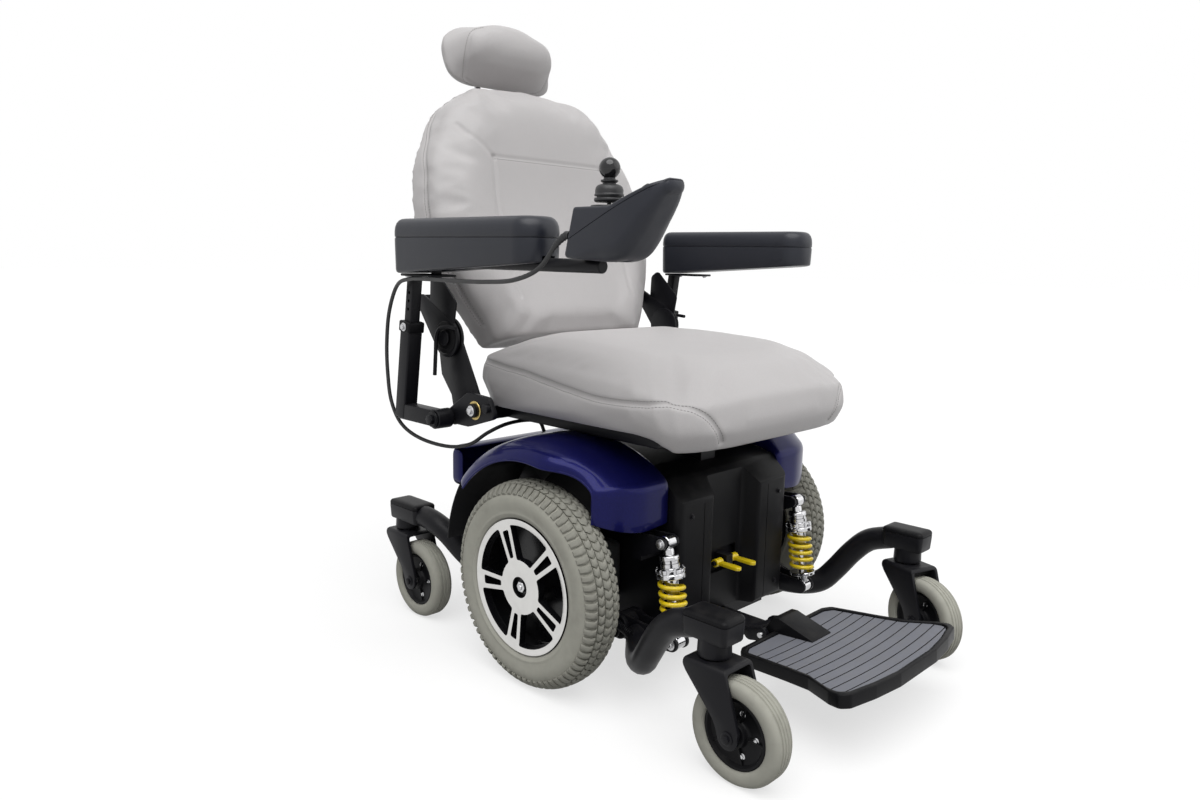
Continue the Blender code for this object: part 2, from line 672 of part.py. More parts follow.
def shock(name, side, chair):
    """Coil-over shock: damper body and collar above, rod, seat and eye below, coil between."""
    top, foot = Vector(SHOCK_TOP), Vector(SHOCK_FOOT)
    length = (top - foot).length
    tilt = -math.degrees(math.asin((top.y - foot.y) / length))
    pivot = empty(name + "_shock_pivot", (side * top.x, top.y, top.z), chair, (tilt, 0.0, 0.0))
    collar, seat, wire, mean = -0.0500, -0.1370, 0.0038, 0.0195
    body = join(rod_x(-0.010, 0.010, 0.0, 0.0, 0.0115, 12),
                rod((0, 0, -0.006), (0, 0, -0.022), 0.009, 10),
                rod((0, 0, -0.020), (0, 0, -0.042), 0.0165, 10),
                rod((0, 0, -0.041), (0, 0, collar - 0.008), 0.0245, 14),
                rod((0, 0, collar - 0.007), (0, 0, -0.095), 0.0120, 10))
    body = cut(body, rod_x(-0.02, 0.02, 0.0, 0.0, 0.0051, 8),
               rod((0, 0, -0.062), (0, 0, -0.10), 0.0066, 8))
    place(name + "_shock_body", body, "chrome", pivot)
    slider = join(rod((0, 0, -0.083), (0, 0, seat - 0.002), 0.0055, 8),
                  rod((0, 0, seat), (0, 0, seat - 0.006), 0.0245, 14),
                  rod((0, 0, seat - 0.004), (0, 0, 0.009 - length), 0.0090, 10),
                  rod_x(-0.010, 0.010, 0.0, -length, 0.0115, 12))
    slider = cut(slider, rod_x(-0.02, 0.02, 0.0, -length, 0.0072, 8))
    place(name + "_shock_rod", slider, "chrome", pivot)
    points = coil_points(mean, collar - 0.008 - wire - GAP, seat + wire + GAP, 5.0, 2 * wire)
    print(name, "shock coil, least gap to itself in mm:", round(1000 * least_gap(points, wire, 5), 2))
    place(name + "_shock_spring", tube(points, wire, 1), "yellow_coil", pivot)


def footrest(chair):
    """Hinge bracket on the tub's front, and the platform that folds up on it."""
    _, y, z = FOOT_HINGE
    bar = span((-0.024, y + 0.016, 0.074), (0.024, TUB_FRONT - GAP, 0.092))
    yoke = span((-0.040, y + 0.016, z - 0.016), (0.040, y + 0.030, z + 0.001))
    lug = capsule((y + 0.024, z - 0.006), (y, z), 0.011, 0.012, 3)
    ears = [prism_x(lug, side * 0.0305, side * 0.0395) for _, side in SIDES]
    pin = rod_x(-0.044, 0.044, y, z, 0.005, 8)
    place("footrest_mount", join(bar, yoke, *ears, pin), "black_paint", chair)
    hinge = empty("foot_hinge", FOOT_HINGE, chair, (-FOOT_TILT, 0.0, 0.0))
    half = ((0.122, -0.020), (0.140, -0.030), (0.150, -0.120), (0.157, -0.165), (0.180, -0.212),
            (0.184, -0.232), (0.172, -0.244), (0.120, -0.256), (0.060, -0.264))
    rim = list(half) + [(-px, py) for px, py in reversed(half)]
    middle = -0.135
    mat = [(px * 0.948, middle + (py - middle) * 0.925) for px, py in rim]
    tray = cut(softened(prism(rim, -0.014, 0.008), 0.003), prism(mat, 0.003, 0.02))
    wedge = prism_x(((-0.004, 0.0), (-0.004, 0.011), (-0.018, 0.031), (-0.030, 0.031), (-0.095, 0.006),
                     (-0.095, 0.001), (-0.03, -0.008)), -0.029, 0.029)
    plate = cut(join(tray, wedge, rod_x(-0.029, 0.029, 0.0, 0.0, 0.0115, 12)),
                rod_x(-0.06, 0.06, 0.0, 0.0, 0.0056, 8))
    place("footplate", plate, "black_plastic", hinge)


def seat_post(chair):
    """Two posts on the tub's cross members, with the plate that the seat bolts to."""
    posts = [span((-0.020, y - 0.020, TUB_TOP + GAP), (0.020, y + 0.020, 0.414)) for y in POST_PLACES]
    plate = span((-0.110, -0.160, 0.413), (0.110, 0.184, FRAME_LOW - GAP), 0.002)
    place("seat_post", join(plate, *posts), "black_paint", chair)


def seat_frame(chair):
    """Rails, pan, recline plates and the rear bar that carries the armrests."""
    low, high = FRAME_LOW, FRAME_LOW + 0.025
    bar_y, bar_z = ARM_PIVOT
    hinge_y, hinge_z = RECLINE
    rails = [span((side * 0.188, -0.182, low), (side * 0.213, 0.205, high)) for _, side in SIDES]
    front = span((-0.205, -0.170, low), (0.205, -0.145, high))
    rear = span((-0.336, bar_y - 0.0125, low), (0.336, bar_y + 0.0125, high), 0.003)
    pan = span((-0.195, -0.190, high - 0.001), (0.195, 0.180, high + 0.002))
    shapes = [rear, *rails, front, pan]
    for _, side in SIDES:
        outline = capsule((bar_y + 0.012, bar_z + 0.004), (hinge_y, hinge_z), 0.016, 0.036, 4)
        shapes.append(prism_x(outline, side * 0.2945, side * 0.3005))
        shapes.append(rod_x(side * 0.296, side * 0.3125, hinge_y, hinge_z, 0.0080, 8))
        shapes.append(rod_x(side * 0.3098, side * 0.3140, hinge_y, hinge_z, 0.0140, 8))
        shapes.append(rod_x(side * 0.330, side * 0.3745, bar_y, bar_z, 0.0080, 8))
        shapes.append(rod_x(side * 0.3725, side * 0.3790, bar_y, bar_z, 0.0140, 6))
    place("seat_frame", join(*shapes), "black_paint", chair)


def seat_cushion(chair):
    """Crowned seat pad with a waterfall front, drawn-in sides and a sewn edge."""
    middle, half = (SEAT_FRONT + SEAT_REAR) / 2, (SEAT_REAR - SEAT_FRONT) / 2

    def plan(s, t, inset=0.0):
        k = squircle(s, t, 5.0 if t < 0 else 12.0)
        return s * k * (SEAT_HALF - inset), middle + t * k * (half - inset)

    def edge(t):
        return SEAT_EDGE + 0.010 * t - 0.014 * max(0.0, -t) ** 3

    def face(s, t):
        crown = (1 - abs(s) ** 4) * (1 - abs(t) ** 4) + 0.25 * (1 - s * s)
        fall = 0.020 * max(0.0, -t - 0.3) ** 2
        return *plan(s, t, 0.010), edge(t) + SEAT_CROWN * min(crown, 1.0) - fall

    def wall(s, t, depth):
        if depth > 1:
            return *plan(s, t, 0.060), SEAT_BASE
        low = SEAT_BASE - 0.016 * max(0.0, min(1.0, (-t - 0.80) / 0.20))
        swell = 0.010 - 0.010 * math.sin(math.pi * min(1.0, depth * 1.15)) + 0.010 * depth ** 4
        return *plan(s, t, swell), edge(t) + (low - edge(t)) * depth

    form = padded(even(13), even(11), face, wall, (0.12, 0.5, 0.88, 1.0, 1.5))
    place("seat_cushion", form, "grey_vinyl", chair, smooth=60.0)


def back_half(height):
    """Half width of the backrest at a height above its hinge."""
    for (low, near), (high, far) in zip(BACK_OUTLINE, BACK_OUTLINE[1:]):
        if height <= high:
            share = (height - low) / (high - low)
            return near + (far - near) * share
    return BACK_OUTLINE[-1][1]


def back_cushion(back):
    """Backrest pad: shield outline, side bolsters, a sewn line across its upper third."""
    low, high = BACK_OUTLINE[0][0], BACK_OUTLINE[-1][0]
    front = -0.050
    seam = (BACK_SEAM - low) / (high - low)
    rows = [0.0, 0.06, 0.17, 0.30, 0.46, seam - 0.035, seam, seam + 0.035, 0.80, 0.90, 1.0]

    def height(s, t):
        return low + (high - low) * t - 0.012 * s * s * max(0.0, t - 0.8) * 5

    def face(s, t):
        rim = max(abs(s), abs(2 * t - 1)) ** 8
        hollow = BACK_HOLLOW * rise((0.84 - abs(s)) / 0.40) * rise(t / 0.14) * rise((0.82 - t) / 0.18)
        crease = 0.004 if abs(t - seam) < 0.001 and abs(s) < 0.75 else 0.0
        return s * (back_half(height(s, t)) - 0.008), front + 0.030 * rim + hollow + crease, height(s, t)

    def wall(s, t, depth):
        x, y, z = face(s, t)
        middle = 0.25
        swell = 0.008 - 0.006 * math.sin(math.pi * depth)
        out = Vector((x, (z - middle) * 0.6)).normalized() * swell
        return x + out.x, y + (BACK_THICK + front - y) * depth, max(z + out.y, low)

    form = padded(even(13), rows, face, wall, (0.15, 0.5, 0.85, 1.0))
    place("back_cushion", form, "grey_vinyl", back, smooth=60.0)


def back_frame(back):
    """Rear shell of the backrest with its hinge plates and the headrest guide."""
    rear = BACK_THICK - 0.050 + GAP
    heights = [0.06, 0.15, 0.24, 0.32, 0.40, 0.47]
    right = [(back_half(z) - 0.022, z) for z in heights]
    outline = right + [(-x, z) for x, z in reversed(right)]
    shell = prism(outline, -0.006, 0.0)
    shell.transform(Matrix.Translation((0.0, rear, 0.0)) @ Matrix.Rotation(math.radians(90), 4, "X"))
    guide = span((-0.085, rear + 0.0005, 0.350), (0.085, 0.072, 0.480))
    bar = span((-0.309, rear + 0.002, 0.070), (0.309, rear + 0.018, 0.096))
    plates = [prism_x(capsule((0.0, 0.0), (rear + 0.007, 0.083), 0.036, 0.014, 4),
                      side * 0.3033, side * 0.3092) for _, side in SIDES]
    bores = [rod((x, STAY_Y, 0.34), (x, STAY_Y, 0.49), 0.0076, 8) for x in (-STAY_X, STAY_X)]
    pins = [rod_x(side * 0.29, side * 0.32, 0.0, 0.0, 0.0088, 8) for _, side in SIDES]
    place("back_frame", cut(join(shell, guide, bar, *plates), *bores, *pins), "black_plastic", back)


def headrest(back):
    """Pillow on two stays that slide in the backrest's guide."""
    slide = empty("headrest_slide", (0.0, STAY_Y, 0.480), back)
    top, foot, bend = 0.582, 0.375, 0.012
    route = [(-STAY_X, STAY_Y, foot), (-STAY_X, STAY_Y, top - bend),
             (-STAY_X + bend * 0.3, STAY_Y, top - bend * 0.3), (-STAY_X + bend, STAY_Y, top)]
    route += [(-px, py, pz) for px, py, pz in reversed(route)]
    stays = tube(route, 0.0065, 3)
    origin = (0.0, STAY_Y, 0.480)
    place("headrest_stays", stays, "chrome", slide).location = [-v for v in origin]
    mx, my, mz = HEAD_MIDDLE
    hx, hy, hz = HEAD_HALF

    def plan(s, t, inset):
        k = squircle(s, t, 3.2)
        return mx + s * k * (hx - inset), mz + t * k * (hz - inset)

    def face(s, t):
        x, z = plan(s, t, 0.012)
        crown = (1 - abs(s) ** 3.5) * (1 - abs(t) ** 2.5)
        return x, my + 0.018 - (hy + 0.018) * crown ** 0.6, z

    def wall(s, t, depth):
        inset = 0.012 * (1 - math.sin(math.pi * min(depth, 1.0))) + 0.024 * max(0.0, depth - 0.7) / 0.3
        x, z = plan(s, t, inset)
        return x, my + 0.018 + (hy - 0.018) * depth, z

    form = padded(even(11), even(9), face, wall, (0.3, 0.8, 1.0))
    room = 0.0070
    slot = span((-STAY_X - room, STAY_Y - room, 0.50), (STAY_X + room, STAY_Y + room, top + room))
    pillow = place("headrest_cushion", cut(form, slot), "grey_vinyl", slide, smooth=60.0)
    pillow.location = [-v for v in origin]


def backrest(chair):
    back = empty("recline_hinge", (0.0, *RECLINE), chair, (-BACK_TILT, 0.0, 0.0))
    back_frame(back)
    back_cushion(back)
    headrest(back)


def armrest(name, side, chair):
    """Lower tube that flips back, post that slides in it, and the pad."""
    pivot_y, pivot_z = ARM_PIVOT
    foot_y, foot_z = SLEEVE_FOOT
    x = side * ARM_X
    half, bore, post_half = 0.0145, 0.0104, 0.0100
    lean = Matrix.Translation((x, foot_y, foot_z)) @ Matrix.Rotation(math.radians(SLEEVE_LEAN), 4, "X")

    def leaned(mesh):
        mesh.transform(lean)
        return mesh

    boss = rod_x(side * 0.3395, side * 0.3715, pivot_y, pivot_z, 0.0175, 12)
    link = span((x - half, pivot_y, pivot_z - half), (x + half, foot_y + 0.008, pivot_z + half), 0.002)
    sleeve = leaned(span((-half, -half, -0.012), (half, half, 0.165), 0.002))
    hollow = leaned(span((-bore, -bore, 0.022), (bore, bore, 0.20)))
    pin = rod_x(side * 0.32, side * 0.39, pivot_y, pivot_z, 0.0088, 8)
    arm = cut(join(link, boss, sleeve), hollow, pin)
    place(name + "_armrest_arm", arm, "black_paint", chair, (x, pivot_y, pivot_z))

    post = leaned(span((-post_half, -post_half, 0.034), (post_half, post_half, 0.252), 0.0012))
    flange = span((x - 0.026, 0.185, 0.6860), (x + 0.026, 0.280, 0.6905), 0.0012)
    shapes = [post, flange]
    low, slope = 0.6912, 0.717
    plan = rounded_plan(x, PAD_HALF, PAD_FRONT, PAD_REAR, 0.040, 0.022)
    under = ((0.170, low - 0.02), (0.170, low), (PAD_FRONT - 0.01, slope), (PAD_FRONT - 0.01, low - 0.02))
    pad = cut(prism(plan, low, PAD_TOP), prism_x(under, x - 0.1, x + 0.1))
    pad = softened(pad, 0.008)
    if side < 0:
        height, radius = 0.7035, 0.0110
        shapes.append(rod((x, -0.196, height), (x, 0.215, height), radius, 12))
        shapes.append(span((x - 0.008, 0.203, 0.6885), (x + 0.008, 0.213, height)))
        pad = cut(pad, span((x - 0.0125, -0.15, 0.68), (x + 0.0125, 0.218, height + 0.0125)))
    place(name + "_armrest_post", join(*shapes), "black_paint", chair, (x, foot_y, foot_z))
    place(name + "_armrest_pad", pad, "black_plastic", chair, (x, foot_y, foot_z))


def panel_button(name, x, ahead, size, housing_cuts, chair):
    """A push button on the joystick's sloping panel, and the pocket that it sits in."""
    wide, long, proud, deep = size[0] / 2, size[1] / 2, 0.0015, 0.0045
    at = Vector(STICK_PIVOT) + Vector((x, 0.0, 0.0))
    turn = Matrix.Translation(at) @ Matrix.Rotation(math.radians(-PANEL_TILT), 4, "X")
    surface = -0.0021
    key = span((-wide, -ahead - long, surface - deep), (wide, -ahead + long, surface + proud), 0.0008)
    pocket = span((-wide - 0.0005, -ahead - long - 0.0005, surface - deep - 0.002),
                  (wide + 0.0005, -ahead + long + 0.0005, surface + 0.01))
    for mesh in (key, pocket):
        mesh.transform(turn)
    housing_cuts.append(pocket)
    place(name, key, "black_rubber", chair, turn @ Vector((0.0, -ahead, surface)))


def joystick(chair):
    """Wedge-shaped controller on the right armrest's tube, with stick, gimbal and buttons."""
    x, y, z = STICK_PIVOT
    half, tube_z = 0.042, 0.7035
    outline = ((-0.160, 0.737), (-0.176, 0.7955), (-0.318, 0.8265), (-0.325, 0.819), (-0.302, 0.775),
               (-0.258, 0.737), (-0.215, 0.7195), (-0.170, 0.7215))
    plan = rounded_plan(x, half, -0.325, -0.160, 0.036, 0.010)
    body = boolean(prism_x(outline, x - 0.1, x + 0.1), [prism(plan, 0.70, 0.85)], "INTERSECT")
    clamp = span((x - 0.016, -0.190, tube_z - 0.016), (x + 0.016, -0.162, 0.730), 0.002)
    bore = rod((x, -0.22, tube_z), (x, -0.10, tube_z), 0.0118, 12)
    well = rod((x, y, z - 0.030), (x, y, z + 0.030), 0.0238, 16)
    cuts = [bore, well]
    panel_button("power_button", 0.022, 0.098, (0.015, 0.011), cuts, chair)
    panel_button("horn_button", -0.022, 0.098, (0.015, 0.011), cuts, chair)
    panel_button("speed_button", 0.0, 0.062, (0.034, 0.012), cuts, chair)
    place("joystick_housing", cut(join(body, clamp), *cuts), "black_plastic", chair, (x, y, tube_z))

    yoke = cut(span((-0.017, -0.010, -0.0165), (0.017, 0.010, -0.0105), 0.001),
               span((-0.0115, -0.0034, -0.03), (0.0115, 0.0034, 0.0)))
    yoke.transform(Matrix.Translation(STICK_PIVOT))
    place("joystick_gimbal", yoke, "motor_grey", chair, STICK_PIVOT)
    ball = 0.043
    dome = 0.021
    profile = [(0.0, ball + BALL_RADIUS)]
    profile += [(BALL_RADIUS * math.sin(math.radians(a)), ball + BALL_RADIUS * math.cos(math.radians(a)))
                for a in (40, 75, 105, 140)]
    profile += [(0.0085, ball - 0.0135), (0.0115, ball - 0.016), (0.0085, ball - 0.0185), (0.0125, 0.019)]
    profile += [(dome * math.cos(math.radians(a)), dome * math.sin(math.radians(a))) for a in (50, 25, 0)]
    profile += [(0.0195, -0.003), (0.003, -0.003), (0.003, -0.0165), (0.0, -0.0165)]
    stick = turned(profile, 12)
    stick.transform(Matrix.Translation(STICK_PIVOT))
    place("joystick_stick", stick, "black_rubber", chair, STICK_PIVOT)


def joystick_cable(chair):
    """Lead from the controller's back along the armrest, in a loop down to the deck."""
    knots = ((-0.386, -0.1628, 0.7525), (-0.387, -0.151, 0.755), (-0.391, -0.134, 0.742),
             (-0.398, -0.104, 0.707), (-0.400, -0.050, 0.689), (-0.399, 0.020, 0.684),
             (-0.397, 0.100, 0.683), (-0.393, 0.180, 0.683), (-0.386, 0.250, 0.681),
             (-0.379, 0.298, 0.668), (-0.374, 0.333, 0.620), (-0.371, 0.348, 0.560),
             (-0.370, 0.348, 0.503), (-0.367, 0.342, 0.452), (-0.356, 0.326, 0.410),
             (-0.334, 0.296, 0.384), (-0.304, 0.252, 0.372), (-0.284, 0.212, 0.380),
             (-0.262, 0.188, 0.402), (-0.225, 0.180, 0.415), (-0.175, 0.184, 0.416),
             (-0.138, 0.185, 0.409), (-0.125, 0.185, COVER_TOP + 0.0165))
    place("joystick_cable", tube(smooth_route(knots, 56), CORD_RADIUS, 2), "black_rubber", chair)


def main():
    clear_scene()
    chair = empty("chair", (0.0, AXLE_Y, 0.0))
    chassis_frame(chair)
    batteries_and_module(chair)
    battery_cover(chair)
    rear_cover(chair)
    footrest(chair)
    seat_post(chair)
    seat_frame(chair)
    seat_cushion(chair)
    backrest(chair)
    tyre, rim = drive_tyre_mesh(), drive_rim_mesh()
    caster_shapes = fork_mesh(), caster_tyre_mesh(), caster_hub_mesh()
    for name, side in SIDES:
        motor(name, side, chair)
        shroud(name, side, chair)
        freewheel_lever(name, side, chair)
        drive_wheel(name, side, chair, tyre, rim)
        front_arm(name, side, chair)
        rear_arm(name, side, chair)
        shock(name, side, chair)
        armrest(name, side, chair)
        turn = LEFT_CASTER_TURN if side > 0 else 0.0
        for end, spot, angle in (("front", FRONT_SWIVEL, turn), ("rear", REAR_SWIVEL, 0.0)):
            label = name + "_" + end
            swivel = empty(label + "_swivel", (side * spot[0], spot[1], 0.0), chair, (0.0, 0.0, angle))
            caster(label, swivel, caster_shapes)
    joystick(chair)
    joystick_cable(chair)


main()
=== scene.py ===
"""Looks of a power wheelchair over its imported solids, laid out as a Blender add-on and run as a script.

Metres, +Z up. The chair faces -Y and its left side is +X. Pieces are drawn with the drive axle at y = 0,
and settle() moves each finished piece to its place in the frame.
"""
import json
import math

import bpy
from bpy.props import FloatProperty, FloatVectorProperty, IntProperty, PointerProperty
from bpy.types import Operator, Panel, PropertyGroup
from mathutils import Matrix, Vector
from mathutils.bvhtree import BVHTree
from mathutils.kdtree import KDTree

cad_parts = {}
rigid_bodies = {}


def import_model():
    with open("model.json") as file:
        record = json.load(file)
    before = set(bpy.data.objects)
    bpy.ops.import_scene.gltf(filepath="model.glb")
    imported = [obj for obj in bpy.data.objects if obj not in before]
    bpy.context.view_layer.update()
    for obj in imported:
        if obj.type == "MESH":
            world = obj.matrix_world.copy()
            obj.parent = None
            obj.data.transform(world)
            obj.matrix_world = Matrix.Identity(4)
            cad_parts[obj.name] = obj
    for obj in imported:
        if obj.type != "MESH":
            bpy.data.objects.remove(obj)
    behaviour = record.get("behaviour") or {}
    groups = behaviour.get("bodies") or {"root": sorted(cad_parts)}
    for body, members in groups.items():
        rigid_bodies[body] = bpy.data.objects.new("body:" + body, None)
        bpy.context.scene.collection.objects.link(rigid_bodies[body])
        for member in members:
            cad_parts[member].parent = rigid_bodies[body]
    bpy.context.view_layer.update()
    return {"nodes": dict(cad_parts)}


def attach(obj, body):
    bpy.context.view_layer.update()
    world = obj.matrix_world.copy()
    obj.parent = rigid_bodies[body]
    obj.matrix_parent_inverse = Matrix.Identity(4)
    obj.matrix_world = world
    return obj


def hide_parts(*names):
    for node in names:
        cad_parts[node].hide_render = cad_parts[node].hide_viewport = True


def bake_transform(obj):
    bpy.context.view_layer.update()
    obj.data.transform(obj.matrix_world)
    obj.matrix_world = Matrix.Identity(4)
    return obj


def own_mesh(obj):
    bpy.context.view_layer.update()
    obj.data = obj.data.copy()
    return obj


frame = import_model()

bl_info = {
    "name": "Power wheelchair looks",
    "version": (1, 0, 0),
    "blender": (4, 5, 0),
    "location": "3D View > Sidebar > Wheelchair",
    "description": "Dresses the wheelchair's solids with upholstery, tyres, paint and fittings",
    "category": "Object",
}

# Places and sizes that the solids have too.
AXLE_Y = 0.0079
DRIVE_RADIUS = 0.178
DRIVE_TRACK = 0.308
SPOKES, SPOKE_TURN = 5, 43.0
CASTER_TRAIL = 0.051
CASTER_RADIUS = 0.0765
FRONT_SWIVEL = (0.296, -0.372)
REAR_SWIVEL = (0.278, 0.428)
LEFT_CASTER_TURN = -18.0
FRONT_PIVOT = (0.19, -0.105, 0.105)
REAR_PIVOT = (0.19, 0.175, 0.098)
SHOCK_TOP = (0.19, -0.191, 0.27)
SHOCK_FOOT = (0.19, -0.217, 0.107)
FOOT_HINGE = (0.0, -0.278, 0.094)
LEVER_PIN = (0.0, -0.168, 0.19)
ARM_PIVOT = (0.2, 0.4385)
RECLINE = (0.25, 0.575)
BACK_TILT = 19.0
BACK_OUTLINE = ((-0.012, 0.205), (0.08, 0.256), (0.16, 0.287), (0.24, 0.3), (0.32, 0.286),
                (0.4, 0.248), (0.46, 0.206), (0.5, 0.152), (0.516, 0.105))
BACK_REAR = 0.0448
STAY_X, STAY_Y = 0.06, 0.054
BACK_SEAM = 0.345
HEAD_MIDDLE, HEAD_HALF = 0.609, (0.146, 0.076)
ARM_X = 0.3575
SLEEVE_FOOT = (0.308, 0.4385)
SLEEVE_LEAN = 8.0
STICK_PIVOT = (-ARM_X, -0.205, 0.804)
KEY_PANEL = (-0.242, 0.7935, 23.5)
TUBE_Z = 0.7125
CORD_RADIUS = 0.0035
CORD_KNOTS = ((-0.386, -0.1628, 0.7525), (-0.387, -0.151, 0.755), (-0.391, -0.134, 0.742),
              (-0.398, -0.104, 0.707), (-0.4, -0.05, 0.689), (-0.399, 0.02, 0.684), (-0.397, 0.1, 0.683),
              (-0.393, 0.18, 0.683), (-0.386, 0.25, 0.681), (-0.379, 0.298, 0.668), (-0.374, 0.333, 0.62),
              (-0.371, 0.348, 0.56), (-0.37, 0.348, 0.503), (-0.367, 0.342, 0.452), (-0.356, 0.326, 0.41),
              (-0.334, 0.296, 0.384), (-0.304, 0.252, 0.372), (-0.284, 0.212, 0.38), (-0.262, 0.188, 0.402),
              (-0.225, 0.18, 0.415), (-0.175, 0.184, 0.416), (-0.138, 0.185, 0.409), (-0.125, 0.185, 0.3885))
SIDES = (("left", 1), ("right", -1))

# Where the lead's three lengths meet: under the arm pad and beside the sleeve.
UNDER_PAD_Y, BESIDE_SLEEVE_Z = 0.03, 0.56

# Stage: angles in degrees, and the camera's place in the axle's frame.
CAMERA_PLACE = (-1.26785, -1.09105, 0.72645)
CAMERA_SIDE, CAMERA_LIFT, CAMERA_ROLL = -45.4481, 9.1189, 1.124
KEY_ANGLES, FILL_ANGLES = (25.0, 0.0, -48.0), (62.0, 0.0, 40.0)
LAMP_SOFTNESS = 60.0
FLOOR_SIZE, FLOOR_GREY, FLOOR_GLOW = 60.0, 0.35, 0.66
WHITE = (1.0, 1.0, 1.0, 1.0)

# Cloth: frames that the stuffing takes, and smoothing steps before and after it.
CLOTH_FRAMES = 20
SMOOTH_FIRST, SMOOTH_LAST = 7, 9


# Settings

class UpholsterySettings(PropertyGroup):
    vinyl: FloatVectorProperty(name="Vinyl", description="Colour of the cushion covers", subtype="COLOR",
                               default=(0.525, 0.508, 0.508), min=0.0, max=1.0)
    # The stitching is darker than the vinyl: the thread's own colour, and painted shade along the seam lines.
    thread: FloatVectorProperty(name="Thread", description="Colour of the stitching", subtype="COLOR",
                                default=(0.235, 0.225, 0.22), min=0.0, max=1.0)
    stitch: FloatProperty(name="Stitch", description="Distance from one stitch to the next", unit="LENGTH",
                          default=0.0056, min=0.002, max=0.02)
    rows: FloatProperty(name="Row distance", description="Distance from a seam to its stitch rows",
                        unit="LENGTH", default=0.0042, min=0.001, max=0.02)
    pressure: FloatProperty(name="Stuffing", description="Pressure that swells the covers", default=4.0,
                            min=0.0, max=20.0)


class PaintSettings(PropertyGroup):
    shroud: FloatVectorProperty(name="Shroud", description="Metallic colour of the wheel shrouds",
                                subtype="COLOR", default=(0.006, 0.0066, 0.068), min=0.0, max=1.0)
    plastic: FloatVectorProperty(name="Plastic", description="Colour of the moulded covers", subtype="COLOR",
                                 default=(0.006, 0.006, 0.007), min=0.0, max=1.0)
    powder: FloatVectorProperty(name="Powder coat", description="Colour of the coated steel", subtype="COLOR",
                                default=(0.007, 0.007, 0.009), min=0.0, max=1.0)
    coil: FloatVectorProperty(name="Coil", description="Colour of the springs and levers", subtype="COLOR",
                              default=(0.86, 0.64, 0.01), min=0.0, max=1.0)


class WheelSettings(PropertyGroup):
    rubber: FloatVectorProperty(name="Rubber", description="Colour of the tyres", subtype="COLOR",
                                default=(0.315, 0.312, 0.272), min=0.0, max=1.0)
    metal: FloatVectorProperty(name="Rim", description="Colour of the turned rim faces", subtype="COLOR",
                               default=(0.62, 0.615, 0.6), min=0.0, max=1.0)
    pitches: IntProperty(name="Pitches", description="Rows of tread blocks round a drive tyre", default=72,
                         min=24, max=120)
    groove: FloatProperty(name="Groove", description="Gap between tread blocks", unit="LENGTH",
                          default=0.0032, min=0.001, max=0.006)


class StageSettings(PropertyGroup):
    lens: FloatProperty(name="Lens", description="Focal length on a 36 mm sensor", default=26.83, min=10.0,
                        max=120.0)
    key: FloatProperty(name="Key light", description="Strength of the key light", default=2.65, min=0.0,
                       max=10.0)
    fill: FloatProperty(name="Fill light", description="Strength of the fill light", default=0.5, min=0.0,
                        max=10.0)
    sky: FloatProperty(name="Surround", description="Strength of the light from all round", default=0.25,
                       min=0.0, max=2.0)


class ChairSettings(PropertyGroup):
    upholstery: PointerProperty(type=UpholsterySettings)
    paint: PointerProperty(type=PaintSettings)
    wheels: PointerProperty(type=WheelSettings)
    stage: PointerProperty(type=StageSettings)


def settings():
    return bpy.context.scene.wheelchair


# Finishes

class Wire:
    """A shader socket that can be used in sums."""

    def __init__(self, sheet, socket):
        self.sheet, self.socket = sheet, socket

    def sum(self, operation, first, second):
        return self.sheet.node("Math", {"operation": operation}, {0: first, 1: second})

    def __add__(self, other):
        return self.sum("ADD", self, other)

    def __sub__(self, other):
        return self.sum("SUBTRACT", self, other)

    def __rsub__(self, other):
        return self.sum("SUBTRACT", other, self)

    def __mul__(self, other):
        return self.sum("MULTIPLY", self, other)

    def __truediv__(self, other):
        return self.sum("DIVIDE", self, other)

    def __pow__(self, other):
        return self.sum("POWER", self, other)

    __radd__, __rmul__ = __add__, __mul__


